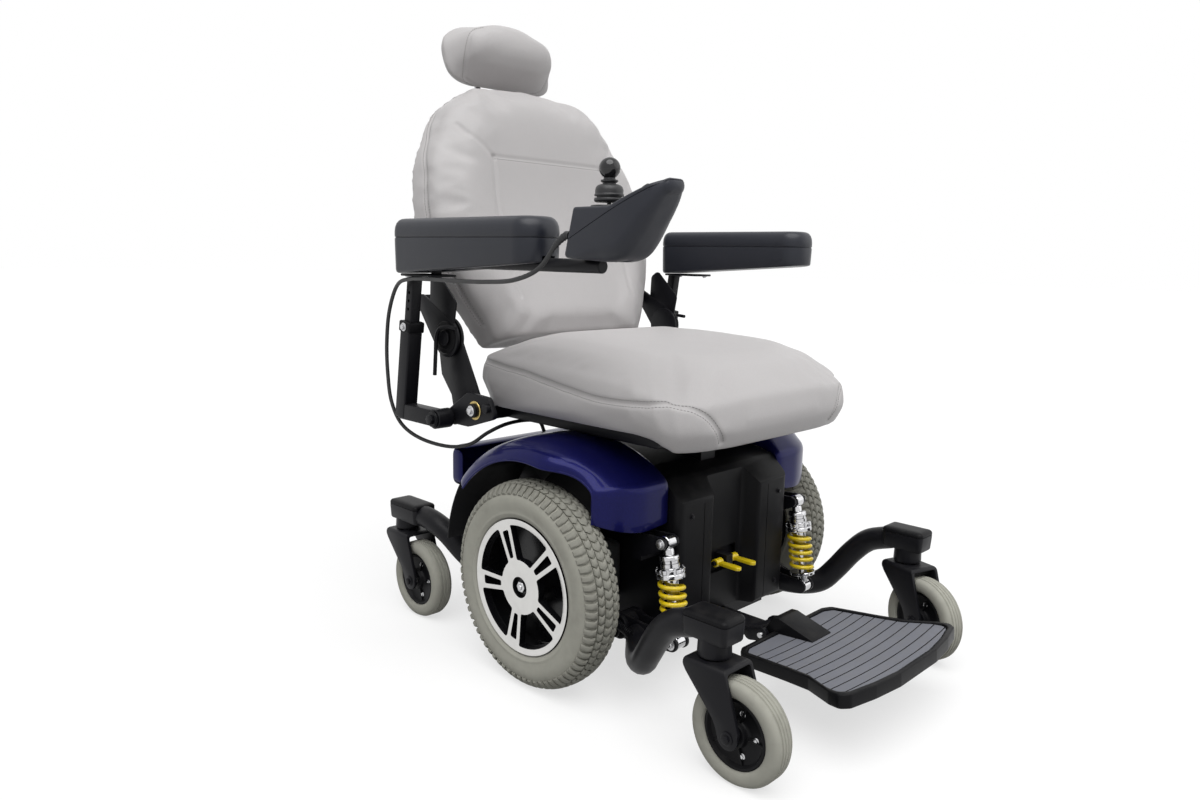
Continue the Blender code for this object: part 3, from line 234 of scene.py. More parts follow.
class Sheet:
    """A new material or world, its node tree and the shader that it starts with."""

    def __init__(self, name, fixed, kind="materials", shader="Principled BSDF"):
        self.owner = getattr(bpy.data, kind).new(name)
        self.owner.use_nodes = True
        self.tree = self.owner.node_tree
        self.shader = self.tree.nodes[shader]
        self.feed(self.shader, fixed)

    def feed(self, node, sockets):
        for key, value in sockets.items():
            if isinstance(value, Wire):
                self.tree.links.new(value.socket, node.inputs[key])
            else:
                node.inputs[key].default_value = value

    def node(self, kind, given=None, sockets=None, out=0):
        node = self.tree.nodes.new("ShaderNode" + kind)
        for key, value in (given or {}).items():
            if key == "stops":
                for element, (place, grey) in zip(node.color_ramp.elements, value):
                    element.position, element.color = place, (grey, grey, grey, 1.0)
            else:
                setattr(node, key, value)
        self.feed(node, sockets or {})
        return Wire(self, node.outputs[out])

    def place(self):
        return self.node("TexCoord", out=3)

    def noise(self, scale, detail=2.0, at=None):
        return self.node("TexNoise", None, {"Vector": at or self.place(), "Scale": scale, "Detail": detail})

    def cells(self, scale, feature="F1", at=None):
        return self.node("TexVoronoi", {"feature": feature}, {"Vector": at or self.place(), "Scale": scale})

    def step(self, value, low, high):
        """The value as a smooth step from 0 at low to 1 at high."""
        return self.node("MapRange", {"interpolation_type": "SMOOTHSTEP"},
                         {"Value": value, "From Min": low, "From Max": high})

    def mix(self, share, one, two):
        ends = [value if isinstance(value, Wire) else (*value, 1.0) for value in (one, two)]
        return self.node("Mix", {"data_type": "RGBA"}, {0: share, 6: ends[0], 7: ends[1]}, 2)

    def bump(self, height, strength, depth):
        return self.node("Bump", None, {"Height": height, "Strength": strength, "Distance": depth})

    def upward(self):
        """How far the surface faces up."""
        normal = self.node("NewGeometry", out=1)
        return self.node("SeparateXYZ", None, {"Vector": normal}, 2)

    def shade(self, sockets):
        self.feed(self.shader, sockets)
        return self.owner

    def joined(self, kind, sockets, output):
        """Lead the first shader and others through one more to the output."""
        first = Wire(self, self.shader.outputs[0])
        both = self.node(kind, None, {**sockets, 1 if 0 in sockets else 0: first})
        self.feed(self.tree.nodes[output], {"Surface": both})
        return self.owner


def times(colour, share):
    return tuple(min(1.0, part * share) for part in colour)


def coated(name, colour, rough, metal=0.0, grain=900.0, strength=0.25, drift=0.12, dust=0.0, gloss=0.5):
    """A finish with a fine surface texture, a slow drift of colour and gloss, and dust on top.

    The colour is given, or named after a paint setting.
    """
    if isinstance(colour, str):
        colour = getattr(settings().paint, colour)
    sheet = Sheet(name, {"Metallic": metal, "Specular IOR Level": gloss})
    cloud = sheet.noise(11.0, 4.0)
    smear = sheet.noise(43.0, 3.0)
    colours = sheet.mix(cloud, times(colour, 1 - drift), times(colour, 1 + drift))
    if dust:
        lying = sheet.step(sheet.upward(), 0.2, 1.0) * sheet.step(smear, 0.35, 0.75) * dust
        colours = sheet.mix(lying, colours, (0.2, 0.19, 0.175))
    return sheet.shade({"Base Color": colours, "Roughness": rough * 0.82 + smear * (rough * 0.36),
                        "Normal": sheet.bump(sheet.noise(grain, 2.0), strength, 0.0001)})


def coat(*given, **more):
    return lambda name: coated(name, *given, **more)


def vinyl_finish(name):
    """Grey upholstery vinyl: a pebbled grain with slow changes of tone and sheen, and painted shade in the
    grain's creases.
    """
    colour = settings().upholstery.vinyl
    sheet = Sheet(name, {"Specular IOR Level": 0.45, "Sheen Weight": 0.06, "Sheen Roughness": 0.5})
    cloud, spread = sheet.noise(4.5, 3.0), sheet.noise(27.0, 3.0)
    pebble = sheet.cells(620.0, "DISTANCE_TO_EDGE")
    fine = sheet.noise(1900.0, 2.0)
    tone = sheet.mix(cloud * 0.7 + spread * 0.3, times(colour, 0.93), times(colour, 1.07))
    # Painted shade: the colour darkens in the creases between the grain's pebbles.
    crease = 1.0 - sheet.step(pebble, 0.0, 0.16)
    colours = sheet.mix(crease * 0.22, tone, times(colour, 0.62))
    height = sheet.step(pebble, 0.0, 0.3) + fine * 0.35
    return sheet.shade({"Base Color": colours, "Roughness": 0.4 + spread * 0.16,
                        "Normal": sheet.bump(height, 0.3, 0.00022)})


# Stitching finish, darkened partly as painted shade along the seams.
def thread_finish(name):
    sheet = Sheet(name, {"Roughness": 0.7})
    colour = settings().upholstery.thread
    twist = sheet.noise(3200.0, 1.0)
    return sheet.shade({"Base Color": sheet.mix(twist, times(colour, 0.75), times(colour, 1.15)),
                        "Normal": sheet.bump(twist, 0.4, 0.0002)})


def shroud_finish(name):
    """Metallic blue under a clear coat, with fine flakes."""
    colour = settings().paint.shroud
    sheet = Sheet(name, {"Metallic": 0.35, "Specular IOR Level": 0.06, "Coat Weight": 0.4,
                         "Coat Roughness": 0.05, "Coat IOR": 1.3})
    flakes = sheet.node("TexVoronoi", None, {"Vector": sheet.place(), "Scale": 2300.0}, 1)
    glint = sheet.node("SeparateColor", None, {"Color": flakes})
    cloud = sheet.noise(9.0, 3.0)
    tone = sheet.mix(cloud, times(colour, 0.8), times(colour, 1.25))
    return sheet.shade({"Base Color": sheet.mix(glint ** 4.0 * 0.5, tone, times(colour, 2.6)),
                        "Roughness": 0.26 + cloud * 0.14})


def rubber_finish(name, share, dirt):
    """Non-marking tyre rubber, dusty and a little mottled."""
    colour = times(settings().wheels.rubber, share)
    sheet = Sheet(name, {"Specular IOR Level": 0.3})
    mottle, fine, broad = sheet.noise(70.0, 4.0), sheet.noise(900.0, 3.0), sheet.noise(13.0, 3.0)
    tone = sheet.mix(mottle, times(colour, 0.86), times(colour, 1.12))
    soiled = sheet.step(broad * 0.6 + mottle * 0.4, 0.5, 0.72) * dirt
    return sheet.shade({"Base Color": sheet.mix(soiled, tone, (0.16, 0.15, 0.13)),
                        "Roughness": 0.78 + mottle * 0.14, "Normal": sheet.bump(fine, 0.3, 0.0002)})


def turned_finish(name):
    """Aluminium turned on a lathe: fine rings about the axle."""
    colour = settings().wheels.metal
    sheet = Sheet(name, {"Metallic": 1.0})
    hub = (0.0, AXLE_Y, DRIVE_RADIUS)
    at = sheet.node("VectorMath", {"operation": "SUBTRACT"}, {0: sheet.place(), 1: hub})
    flat = sheet.node("VectorMath", {"operation": "MULTIPLY"}, {0: at, 1: (0.0, 1.0, 1.0)})
    radius = sheet.node("VectorMath", {"operation": "LENGTH"}, {0: flat}, 1)
    rings = sheet.node("TexNoise", {"noise_dimensions": "1D"}, {"W": radius, "Scale": 2600.0, "Detail": 1.0})
    cloud = sheet.noise(60.0, 3.0)
    return sheet.shade({"Base Color": sheet.mix(cloud, times(colour, 0.9), times(colour, 1.08)),
                        "Roughness": 0.24 + rings * 0.16 + cloud * 0.06,
                        "Normal": sheet.bump(rings, 0.12, 0.0001)})


def chrome_finish(name):
    sheet = Sheet(name, {"Metallic": 1.0})
    haze, pit = sheet.noise(90.0, 4.0), sheet.noise(700.0, 2.0)
    return sheet.shade({"Base Color": sheet.mix(haze, (0.4, 0.4, 0.41), (0.72, 0.72, 0.73)),
                        "Roughness": 0.09 + sheet.step(haze, 0.45, 0.8) * 0.16,
                        "Normal": sheet.bump(pit, 0.06, 0.0001)})


def coil_finish(name):
    """Yellow coat with scuffs."""
    colour = settings().paint.coil
    sheet = Sheet(name, {"Coat Weight": 0.35, "Coat Roughness": 0.12})
    scuff = sheet.step(sheet.noise(230.0, 4.0), 0.6, 0.74)
    cloud = sheet.noise(30.0, 3.0)
    tone = sheet.mix(cloud, times(colour, 0.9), times(colour, 1.06))
    return sheet.shade({"Base Color": sheet.mix(scuff * 0.45, tone, (0.2, 0.15, 0.03)),
                        "Roughness": 0.3 + scuff * 0.3 + cloud * 0.08})


FINISHES = {
    "vinyl": vinyl_finish,
    "thread": thread_finish,
    "shroud_blue": shroud_finish,
    "tyre_wall": lambda name: rubber_finish(name, 1.3, 0.3),
    "tyre_tread": lambda name: rubber_finish(name, 0.92, 0.4),
    "caster_rubber": lambda name: rubber_finish(name, 1.22, 0.4),
    "turned_metal": turned_finish,
    "chrome_plate": chrome_finish,
    "coil_yellow": coil_finish,
    "moulded": coat("plastic", 0.4, grain=1500.0, dust=0.05, gloss=0.1),
    "console": coat((0.02, 0.022, 0.031), 0.46, grain=1700.0, strength=0.35, dust=0.03, gloss=0.35),
    "powder": coat("powder", 0.4, grain=620.0, strength=0.35, dust=0.06, gloss=0.16),
    "enamel": coat((0.004, 0.004, 0.005), 0.26, grain=300.0, strength=0.1, gloss=0.3),
    # Black plastic of the wheel-well liners and guard; on the foot mat it is painted shade in the grooves.
    "liner": coat((0.005, 0.005, 0.006), 0.6, dust=0.08, gloss=0.2),
    "zinc": coat((0.55, 0.55, 0.56), 0.34, 1.0, grain=1100.0),
    "gilt": coat((0.56, 0.43, 0.17), 0.36, 1.0, drift=0.3),
    "boot": coat((0.012, 0.012, 0.014), 0.46, grain=1400.0, dust=0.04),
    "ball": coat((0.008, 0.008, 0.009), 0.1, grain=60.0, strength=0.03),
    "mat": coat((0.158, 0.164, 0.19), 0.6, grain=1200.0, strength=0.5, dust=0.15),
    "foam_skin": coat((0.015, 0.017, 0.025), 0.37, grain=1150.0, strength=0.4, dust=0.01, gloss=0.36),
    "cast_grey": coat((0.16, 0.165, 0.17), 0.46, 0.6, grain=500.0, strength=0.5, dust=0.3),
    "case_grey": coat((0.06, 0.062, 0.066), 0.58, dust=0.25),
    "cord_jacket": coat((0.016, 0.016, 0.017), 0.5, grain=1600.0),
}


def finish(name):
    return bpy.data.materials.get("chair_" + name) or FINISHES[name]("chair_" + name)


# Modelling

def pick(*objs):
    """Leave edit mode and select only these objects, the first one active."""
    if bpy.context.object and bpy.context.object.mode != "OBJECT":
        bpy.ops.object.mode_set(mode="OBJECT")
    bpy.ops.object.select_all(action="DESELECT")
    for obj in objs:
        obj.select_set(True)
    if objs:
        bpy.context.view_layer.objects.active = objs[0]


def edit(obj):
    """Open a piece in edit mode with all of it selected."""
    pick(obj)
    bpy.ops.object.mode_set(mode="EDIT")
    bpy.ops.mesh.select_all(action="SELECT")


def closed(obj):
    """Merge a piece's doubles, fill its holes and face it outwards."""
    edit(obj)
    bpy.ops.mesh.remove_doubles(threshold=0.00001)
    bpy.ops.mesh.fill_holes(sides=0)
    bpy.ops.mesh.normals_make_consistent(inside=False)
    bpy.ops.object.mode_set(mode="OBJECT")
    return obj


def moved(obj, matrix):
    obj.data.transform(matrix)
    return obj


def shift(x, y, z):
    return Matrix.Translation((x, y, z))


def turn(degrees, axis):
    return Matrix.Rotation(math.radians(degrees), 4, axis)


def facing(side, y=0.0, z=0.0):
    """The place at (y, z) of a piece that is drawn for the left side, with a half turn for the right."""
    return turn(0 if side > 0 else 180, "Z") @ shift(0.0, side * y, z)


def aimed(obj, along):
    """Turn a piece made along Z so that it lies along X or Y."""
    if along == "x":
        return moved(obj, turn(90, "Y"))
    return moved(obj, turn(-90, "X")) if along == "y" else obj


def lathe(profile, steps, along="z"):
    """Draw a profile of (radius, height) points and spin it."""
    pick()
    bpy.ops.mesh.primitive_plane_add(size=0.01)
    obj = bpy.context.object
    edit(obj)
    bpy.ops.mesh.merge(type="CENTER")
    bpy.ops.transform.translate(value=(profile[0][0], 0.0, profile[0][1]))
    for (r, h), (far, up) in zip(profile, profile[1:]):
        bpy.ops.mesh.extrude_region_move(TRANSFORM_OT_translate={"value": (far - r, 0.0, up - h)})
    bpy.ops.mesh.select_all(action="SELECT")
    bpy.ops.mesh.spin(steps=steps, angle=2 * math.pi, center=(0.0, 0.0, 0.0), axis=(0.0, 0.0, 1.0))
    return aimed(closed(obj), along)


def ring_lathe(profile, steps, along="z"):
    """Spin a profile that closes on itself."""
    return lathe([*profile, profile[0]], steps, along)


def drum(radius, low, high, edge=0.0):
    """The profile of a solid cylinder, with its rims cut off by a small edge."""
    if not edge:
        return (0.0, low), (radius, low), (radius, high), (0.0, high)
    return ((0.0, low), (radius - edge, low), (radius, low + edge), (radius, high - edge),
            (radius - edge, high), (0.0, high))


def tube(inner, outer, low, high, edge=0.0):
    """The profile of a cylinder with a bore, for ring_lathe."""
    return [(max(inner, radius), height) for radius, height in drum(outer, low, high, edge)]


def slab(outline, low, high, along="z"):
    """Give a flat outline a thickness. Along x it lists (y, z), and along y it lists (x, z)."""
    pick()
    bpy.ops.mesh.primitive_circle_add(vertices=len(outline), radius=0.01, fill_type="NGON")
    obj = bpy.context.object
    start, end = (-high, -low) if along == "y" else (low, high)
    for vertex, (u, v) in zip(obj.data.vertices, outline):
        vertex.co = (u, v, start)
    edit(obj)
    bpy.ops.mesh.extrude_region_move(TRANSFORM_OT_translate={"value": (0.0, 0.0, end - start)})
    closed(obj)
    if along == "x":
        moved(obj, Matrix(((0, 0, 1, 0), (1, 0, 0, 0), (0, 1, 0, 0), (0, 0, 0, 1))))
    elif along == "y":
        moved(obj, turn(90, "X"))
    return obj


def block(low, high, width=0.0, segments=3):
    """A box between two corners, given in any order, with rounded edges."""
    pick()
    size = [abs(b - a) for a, b in zip(low, high)]
    bpy.ops.mesh.primitive_cube_add(size=1.0, location=[(a + b) / 2 for a, b in zip(low, high)])
    obj = bpy.context.object
    obj.scale = size
    bpy.ops.object.transform_apply(location=True, rotation=True, scale=True)
    return soften(obj, width, segments) if width else obj


def skin(rows, ring=True):
    """Lay a grid over rows of points, closed round each row and capped at both ends."""
    count = len(rows[0])
    pick()
    bpy.ops.mesh.primitive_grid_add(x_subdivisions=count if ring else count - 1, y_subdivisions=len(rows) - 1)
    obj = bpy.context.object
    points = [point for row in rows for point in (list(row) + [row[0]] if ring else row)]
    for vertex, point in zip(obj.data.vertices, points):
        vertex.co = point
    return closed(obj) if ring else obj


def drawn(points):
    """A curve of straight runs through the points."""
    pick()
    bpy.ops.curve.primitive_nurbs_path_add()
    obj = bpy.context.object
    obj.data.splines.clear()
    spline = obj.data.splines.new("POLY")
    spline.points.add(len(points) - 1)
    for knot, point in zip(spline.points, points):
        knot.co = (*point, 1.0)
    return obj


def pipe(points, radius, sides=5, widths=None):
    """A round tube along points, with its own width at each of them."""
    obj = drawn(points)
    for knot, share in zip(obj.data.splines[0].points, widths or [1.0] * len(points)):
        knot.radius = share
    obj.data.bevel_depth = radius
    obj.data.bevel_resolution = sides
    obj.data.use_fill_caps = True
    bpy.ops.object.convert(target="MESH")
    return closed(bpy.context.object)


def worked(obj, step):
    pick(obj)
    bpy.ops.object.modifier_apply(modifier=step.name)
    return obj


def soften(obj, width, segments=3, angle=30.0):
    """Round the edges that turn by more than an angle."""
    step = obj.modifiers.new("rounded", "BEVEL")
    step.width, step.segments = width, segments
    step.limit_method, step.angle_limit = "ANGLE", math.radians(angle)
    return worked(obj, step)


def thick(sheet, thickness):
    """Give a sheet a wall, half of it to each side."""
    wall = sheet.modifiers.new("wall", "SOLIDIFY")
    wall.thickness, wall.offset = thickness, 0.0
    return closed(worked(sheet, wall))


def combine(obj, tools, operation):
    for tool in tools:
        step = obj.modifiers.new("cut", "BOOLEAN")
        step.operation, step.solver, step.object = operation, "EXACT", tool
        worked(obj, step)
        drop(tool)
    return obj


def carve(obj, *tools):
    return combine(obj, tools, "DIFFERENCE")


def shared(obj, *tools):
    return combine(obj, tools, "INTERSECT")


def drop(*objs):
    pick(*objs)
    bpy.ops.object.delete()


def merge(*objs):
    """Join finished shapes, with their finishes, into one piece."""
    if len(objs) > 1:
        pick(*objs)
        bpy.ops.object.join()
    return objs[0]


def copied(obj, matrix=None):
    pick(obj)
    bpy.ops.object.duplicate()
    copy = bpy.context.object
    return moved(copy, matrix) if matrix else copy


def twin(obj):
    """The mirror image of a left piece, for the right side."""
    copy = copied(obj)
    edit(copy)
    bpy.ops.transform.resize(value=(-1.0, 1.0, 1.0), center_override=(0.0, 0.0, 0.0))
    bpy.ops.mesh.flip_normals()
    bpy.ops.object.mode_set(mode="OBJECT")
    return copy


def shaped(obj, rule):
    """Move each point of a piece by a rule."""
    for vertex in obj.data.vertices:
        vertex.co = rule(*vertex.co)
    return obj


def dress(obj, name):
    obj.data.materials.clear()
    obj.data.materials.append(finish(name))
    return obj


def dressed(name, *objs):
    """The same finish on several pieces."""
    return [dress(obj, name) for obj in objs]


def dress_some(obj, name, rule):
    """Give a second finish to the faces that a rule picks by middle and normal."""
    obj.data.materials.append(finish(name))
    last = len(obj.data.materials) - 1
    for face in obj.data.polygons:
        if rule(face.center, face.normal):
            face.material_index = last
    return obj


def settle(obj, name, body, stands_for=(), smooth=38.0):
    """Finish a piece: put it in the frame, smooth it, and let it ride on its body."""
    pick(obj)
    obj.name = obj.data.name = name
    moved(obj, shift(0.0, AXLE_Y, 0.0))
    bpy.ops.object.shade_smooth_by_angle(angle=math.radians(smooth))
    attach(obj, body)
    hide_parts(*stands_for)
    return obj


def settle_pair(left, label, body, stands_for, smooth):
    """Settle a left piece and its mirror image.

    The side's name goes before the names of the piece and its solid, and into the gap in the body's name.
    """
    for name, side in reversed(SIDES):
        settle(left if side > 0 else twin(left), f"{name}_{label}", body.format(name),
               (f"{name}_{stands_for}",), smooth)


def settle_copies(masters, prefix, spot):
    """Settle a copy of each master at a spot, with the prefix before its names."""
    return [settle(copied(master, spot), f"{prefix}_{label}_look", f"{prefix}_{body}",
                   (f"{prefix}_{label}",), 40.0) for label, master, slot, body in masters]


def solid_copy(node):
    """A merged copy of a solid, back in the axle's frame."""
    obj = bpy.data.objects.new(node + "_copy", frame["nodes"][node].data.copy())
    bpy.context.scene.collection.objects.link(obj)
    obj.data.materials.clear()
    moved(obj, shift(0.0, -AXLE_Y, 0.0))
    edit(obj)
    bpy.ops.mesh.remove_doubles(threshold=0.00002)
    bpy.ops.object.mode_set(mode="OBJECT")
    return obj


def route(knots, count):
    """Evenly spaced points on a smooth curve through the knots."""
    knots = [Vector(knot) for knot in knots]
    chain = [2 * knots[0] - knots[1], *knots, 2 * knots[-1] - knots[-2]]
    fine, steps = [], 24
    for a, b, c, d in zip(chain, chain[1:], chain[2:], chain[3:]):
        for step in range(steps):
            t = step / steps
            fine.append(0.5 * (2 * b + (c - a) * t + (2 * a - 5 * b + 4 * c - d) * t ** 2
                               + (3 * b - a - 3 * c + d) * t ** 3))
    fine.append(knots[-1])
    walked = [0.0]
    for a, b in zip(fine, fine[1:]):
        walked.append(walked[-1] + (b - a).length)
    points, at = [], 0
    for index in range(count):
        goal = walked[-1] * index / (count - 1)
        while at < len(fine) - 2 and walked[at + 1] < goal:
            at += 1
        share = (goal - walked[at]) / (walked[at + 1] - walked[at])
        points.append(fine[at].lerp(fine[at + 1], min(share, 1.0)))
    return points


def long(points):
    return sum((b - a).length for a, b in zip(points, points[1:]))


def rounded(outline, radius, steps=4):
    """An outline with its corners drawn as curves. A corner's third value is a radius of its own."""
    result = []
    for index, (u, v, *own) in enumerate(outline):
        corner = Vector((u, v))
        before = Vector(outline[index - 1][:2]) - corner
        after = Vector(outline[(index + 1) % len(outline)][:2]) - corner
        reach = own[0] if own else radius
        cut = min(reach / math.tan(before.angle(after) / 2), before.length * 0.49, after.length * 0.49)
        start, end = corner + before.normalized() * cut, corner + after.normalized() * cut
        for step in range(steps + 1):
            t = step / steps
            result.append(tuple((1 - t) ** 2 * start + 2 * t * (1 - t) * corner + t * t * end))
    return result


def rise(share):
    """A smooth step from 0 to 1."""
    share = max(0.0, min(1.0, share))
    return share * share * (3 - 2 * share)


def arc(centre, radius, start, end, steps):
    """Points on a circle's arc, in degrees."""
    angles = [math.radians(start + (end - start) * i / steps) for i in range(steps + 1)]
    return [(centre[0] + radius * math.cos(a), centre[1] + radius * math.sin(a)) for a in angles]


def capsule(first, second, radius_one, radius_two, points=12):
    """The outline round two circles of unlike radius."""
    first, second = Vector(first), Vector(second)
    away = second - first
    lean = math.degrees(math.asin((radius_one - radius_two) / away.length))
    heading = math.degrees(math.atan2(away.y, away.x))
    return (arc(second, radius_two, heading - 90 + lean, heading + 90 - lean, points)
            + arc(first, radius_one, heading + 90 - lean, heading + 270 + lean, points))


def oblong(x, half, front, rear, nose, tail, steps=10):
    """An oblong about x, with its own corner radius in front and behind."""
    outline = []
    for side, y, radius, start in ((1, rear - tail, tail, 0), (-1, rear - tail, tail, 90),
                                   (-1, front + nose, nose, 180), (1, front + nose, nose, 270)):
        outline += arc((x + side * (half - radius), y), radius, start, start + 90, steps)
    return outline


def mirrored(half):
    """A profile's upper half with its mirror image below."""
    return list(half) + [(r, -h) for r, h in reversed(half)]


def hexagon(radius, low, high, along="x"):
    """A hexagon nut or bolt head with softened corners."""
    return soften(slab(arc((0, 0), radius, 0, 300, 5), low, high, along), radius * 0.1, 2)


def bolt(radius, at, side, along="x", look="zinc"):
    """A bolt head on a washer. The face that it sits on is at the given point."""
    ways = {"x": Vector((side, 0, 0)), "y": Vector((0, side, 0)), "z": Vector((0, 0, side))}
    washer = lathe(((0, 0), (radius * 1.45, 0), (radius * 1.5, radius * 0.1), (radius * 1.5, radius * 0.22),
                    (radius * 1.4, radius * 0.3), (0, radius * 0.3)), 20)
    head = hexagon(radius, radius * 0.25, radius * 1.0, "z")
    both = dress(merge(washer, head), look)
    turned_to = ways[along].to_track_quat("Z", "Y").to_matrix().to_4x4()
    return moved(both, shift(*at) @ turned_to)


def back_frame():
    """Where the backrest's own frame lies: at its hinge, leaning back."""
    return shift(0.0, *RECLINE) @ turn(-BACK_TILT, "X")


def back_at(x, y, z):
    """A point of the backrest's own frame, in the chair's."""
    return back_frame() @ Vector((x, y, z))


def in_back(x, y, z):
    """A point of the chair's frame, in the backrest's own."""
    return back_frame().inverted() @ Vector((x, y, z))


def back_half(height):
    """Half width of the backrest at a height above its hinge."""
    for (low, near), (high, far) in zip(BACK_OUTLINE, BACK_OUTLINE[1:]):
        if height <= high:
            return near + (far - near) * (height - low) / (high - low)
    return BACK_OUTLINE[-1][1]


# Stage and cord

class WHEELCHAIR_OT_stage(Operator):
    """Camera, soft light and a pale floor"""
    bl_idname = "wheelchair.stage"
    bl_label = "Stage"

    def execute(self, context):
        stage, objects = context.scene.wheelchair.stage, context.scene.objects
        drop(*(objects[name] for name in ("Cube", "Camera", "Light") if name in objects))
        self.camera(stage.lens)
        for name, strength, angles in (("key", stage.key, KEY_ANGLES), ("fill", stage.fill, FILL_ANGLES)):
            pick()
            bpy.ops.object.light_add(type="SUN", rotation=[math.radians(angle) for angle in angles])
            lamp = context.object
            lamp.name = name + "_light"
            lamp.data.energy, lamp.data.angle = strength, math.radians(LAMP_SOFTNESS)
        self.surround(context.scene, stage.sky)
        self.floor()
        context.scene.view_settings.view_transform = "Standard"
        return {"FINISHED"}

    def camera(self, lens):
        side, lift, roll = (math.radians(angle) for angle in (CAMERA_SIDE, CAMERA_LIFT, CAMERA_ROLL))
        back = Vector((math.sin(side) * math.cos(lift), -math.cos(side) * math.cos(lift), math.sin(lift)))
        right = Vector((math.cos(side), math.sin(side), 0.0))
        up = back.cross(right)
        axes = Matrix((math.cos(roll) * right + math.sin(roll) * up,
                       math.cos(roll) * up - math.sin(roll) * right, back))
        x, y, z = CAMERA_PLACE
        pick()
        bpy.ops.object.camera_add()
        camera = bpy.context.object
        camera.matrix_world = shift(x, y + AXLE_Y, z) @ axes.transposed().to_4x4()
        camera.data.lens = lens
        bpy.context.scene.camera = camera

    def seen(self, sheet):
        """1 for rays from the camera, and for those that gloss and glass send on."""
        camera, gloss, glass = (sheet.node("LightPath", out=f"Is {kind} Ray")
                                for kind in ("Camera", "Glossy", "Transmission"))
        either = camera.sum("MAXIMUM", camera, gloss)
        return either.sum("MAXIMUM", either, glass)

    def surround(self, scene, strength):
        """Soft light from all round, which the camera sees as white."""
        sky = Sheet("studio", {"Color": WHITE, "Strength": strength}, "worlds", "Background")
        white = sky.node("Background", None, {"Color": WHITE})
        scene.world = sky.joined("MixShader", {0: self.seen(sky), 2: white}, "World Output")

    def floor(self):
        """A grey floor that glows for the camera, so that it shows as white round soft shadows."""
        pick()
        bpy.ops.mesh.primitive_plane_add(size=FLOOR_SIZE)
        floor = bpy.context.object
        floor.name = floor.data.name = "floor"
        grey = (FLOOR_GREY, FLOOR_GREY, FLOOR_GREY, 1.0)
        pale = Sheet("pale_floor", {"Base Color": grey, "Roughness": 0.9, "Specular IOR Level": 0.1})
        glow = pale.node("Emission", None, {"Color": WHITE, "Strength": self.seen(pale) * FLOOR_GLOW})
        floor.data.materials.append(pale.joined("AddShader", {0: glow}, "Material Output"))


class WHEELCHAIR_OT_lead(Operator):
    """Joystick lead in three lengths, split under the arm pad and beside the sleeve"""
    bl_idname = "wheelchair.lead"
    bl_label = "Joystick lead"

    def execute(self, context):
        points = [point + Vector((0.0, AXLE_Y, 0.0)) for point in route(CORD_KNOTS, 190)]
        slide = next(i for i, point in enumerate(points) if point.y > UNDER_PAD_Y)
        drop_at = next(i for i, point in enumerate(points) if i > slide and point.z < BESIDE_SLEEVE_Z)
        lengths = (("front", points[:slide + 1], "joystick", "right_armrest_lift", (0, -0.14, 0.7),
                    (0, 0.01, 0.7)),
                   ("middle", points[slide:drop_at + 1], "right_armrest_lift", "right_armrest_flip",
                    (-0.39, 0.215, 0.683), (-0.372, 0.353, 0.58)),
                   ("loop", points[drop_at:], "right_armrest_flip", "base", (-0.362, 0.2, 0.4),
                    (-0.235, 0.2, 0.4)))
        boot = self.boot(points)
        for name, path, first, second, start, end in lengths:
            piece = pipe(path, CORD_RADIUS, 5)
            piece.name = piece.data.name = "lead_" + name
            dress(piece, "cord_jacket")
            pick(piece)
            bpy.ops.object.shade_smooth_by_angle(angle=math.radians(50))
            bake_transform(piece)
            round(long(path), 4)
            [boot] if name == "front" else ()
            if name == "front":
                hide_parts("joystick_cable")
        return {"FINISHED"}

    def boot(self, points):
        """Tapered, ribbed strain relief where the lead leaves the housing."""
        steps, thick_end, taper, rib = 24, 1.75, 0.6, 0.1
        path = route(points[1:8], steps + 1)
        widths = [thick_end - taper * i / steps + (rib if i % 4 < 2 else -rib) for i in range(steps + 1)]
        boot = dress(pipe(path, CORD_RADIUS, 5, widths), "boot")
        moved(boot, shift(0.0, -AXLE_Y, 0.0))
        return settle(boot, "lead_relief", "joystick", smooth=55.0)


# Wheels

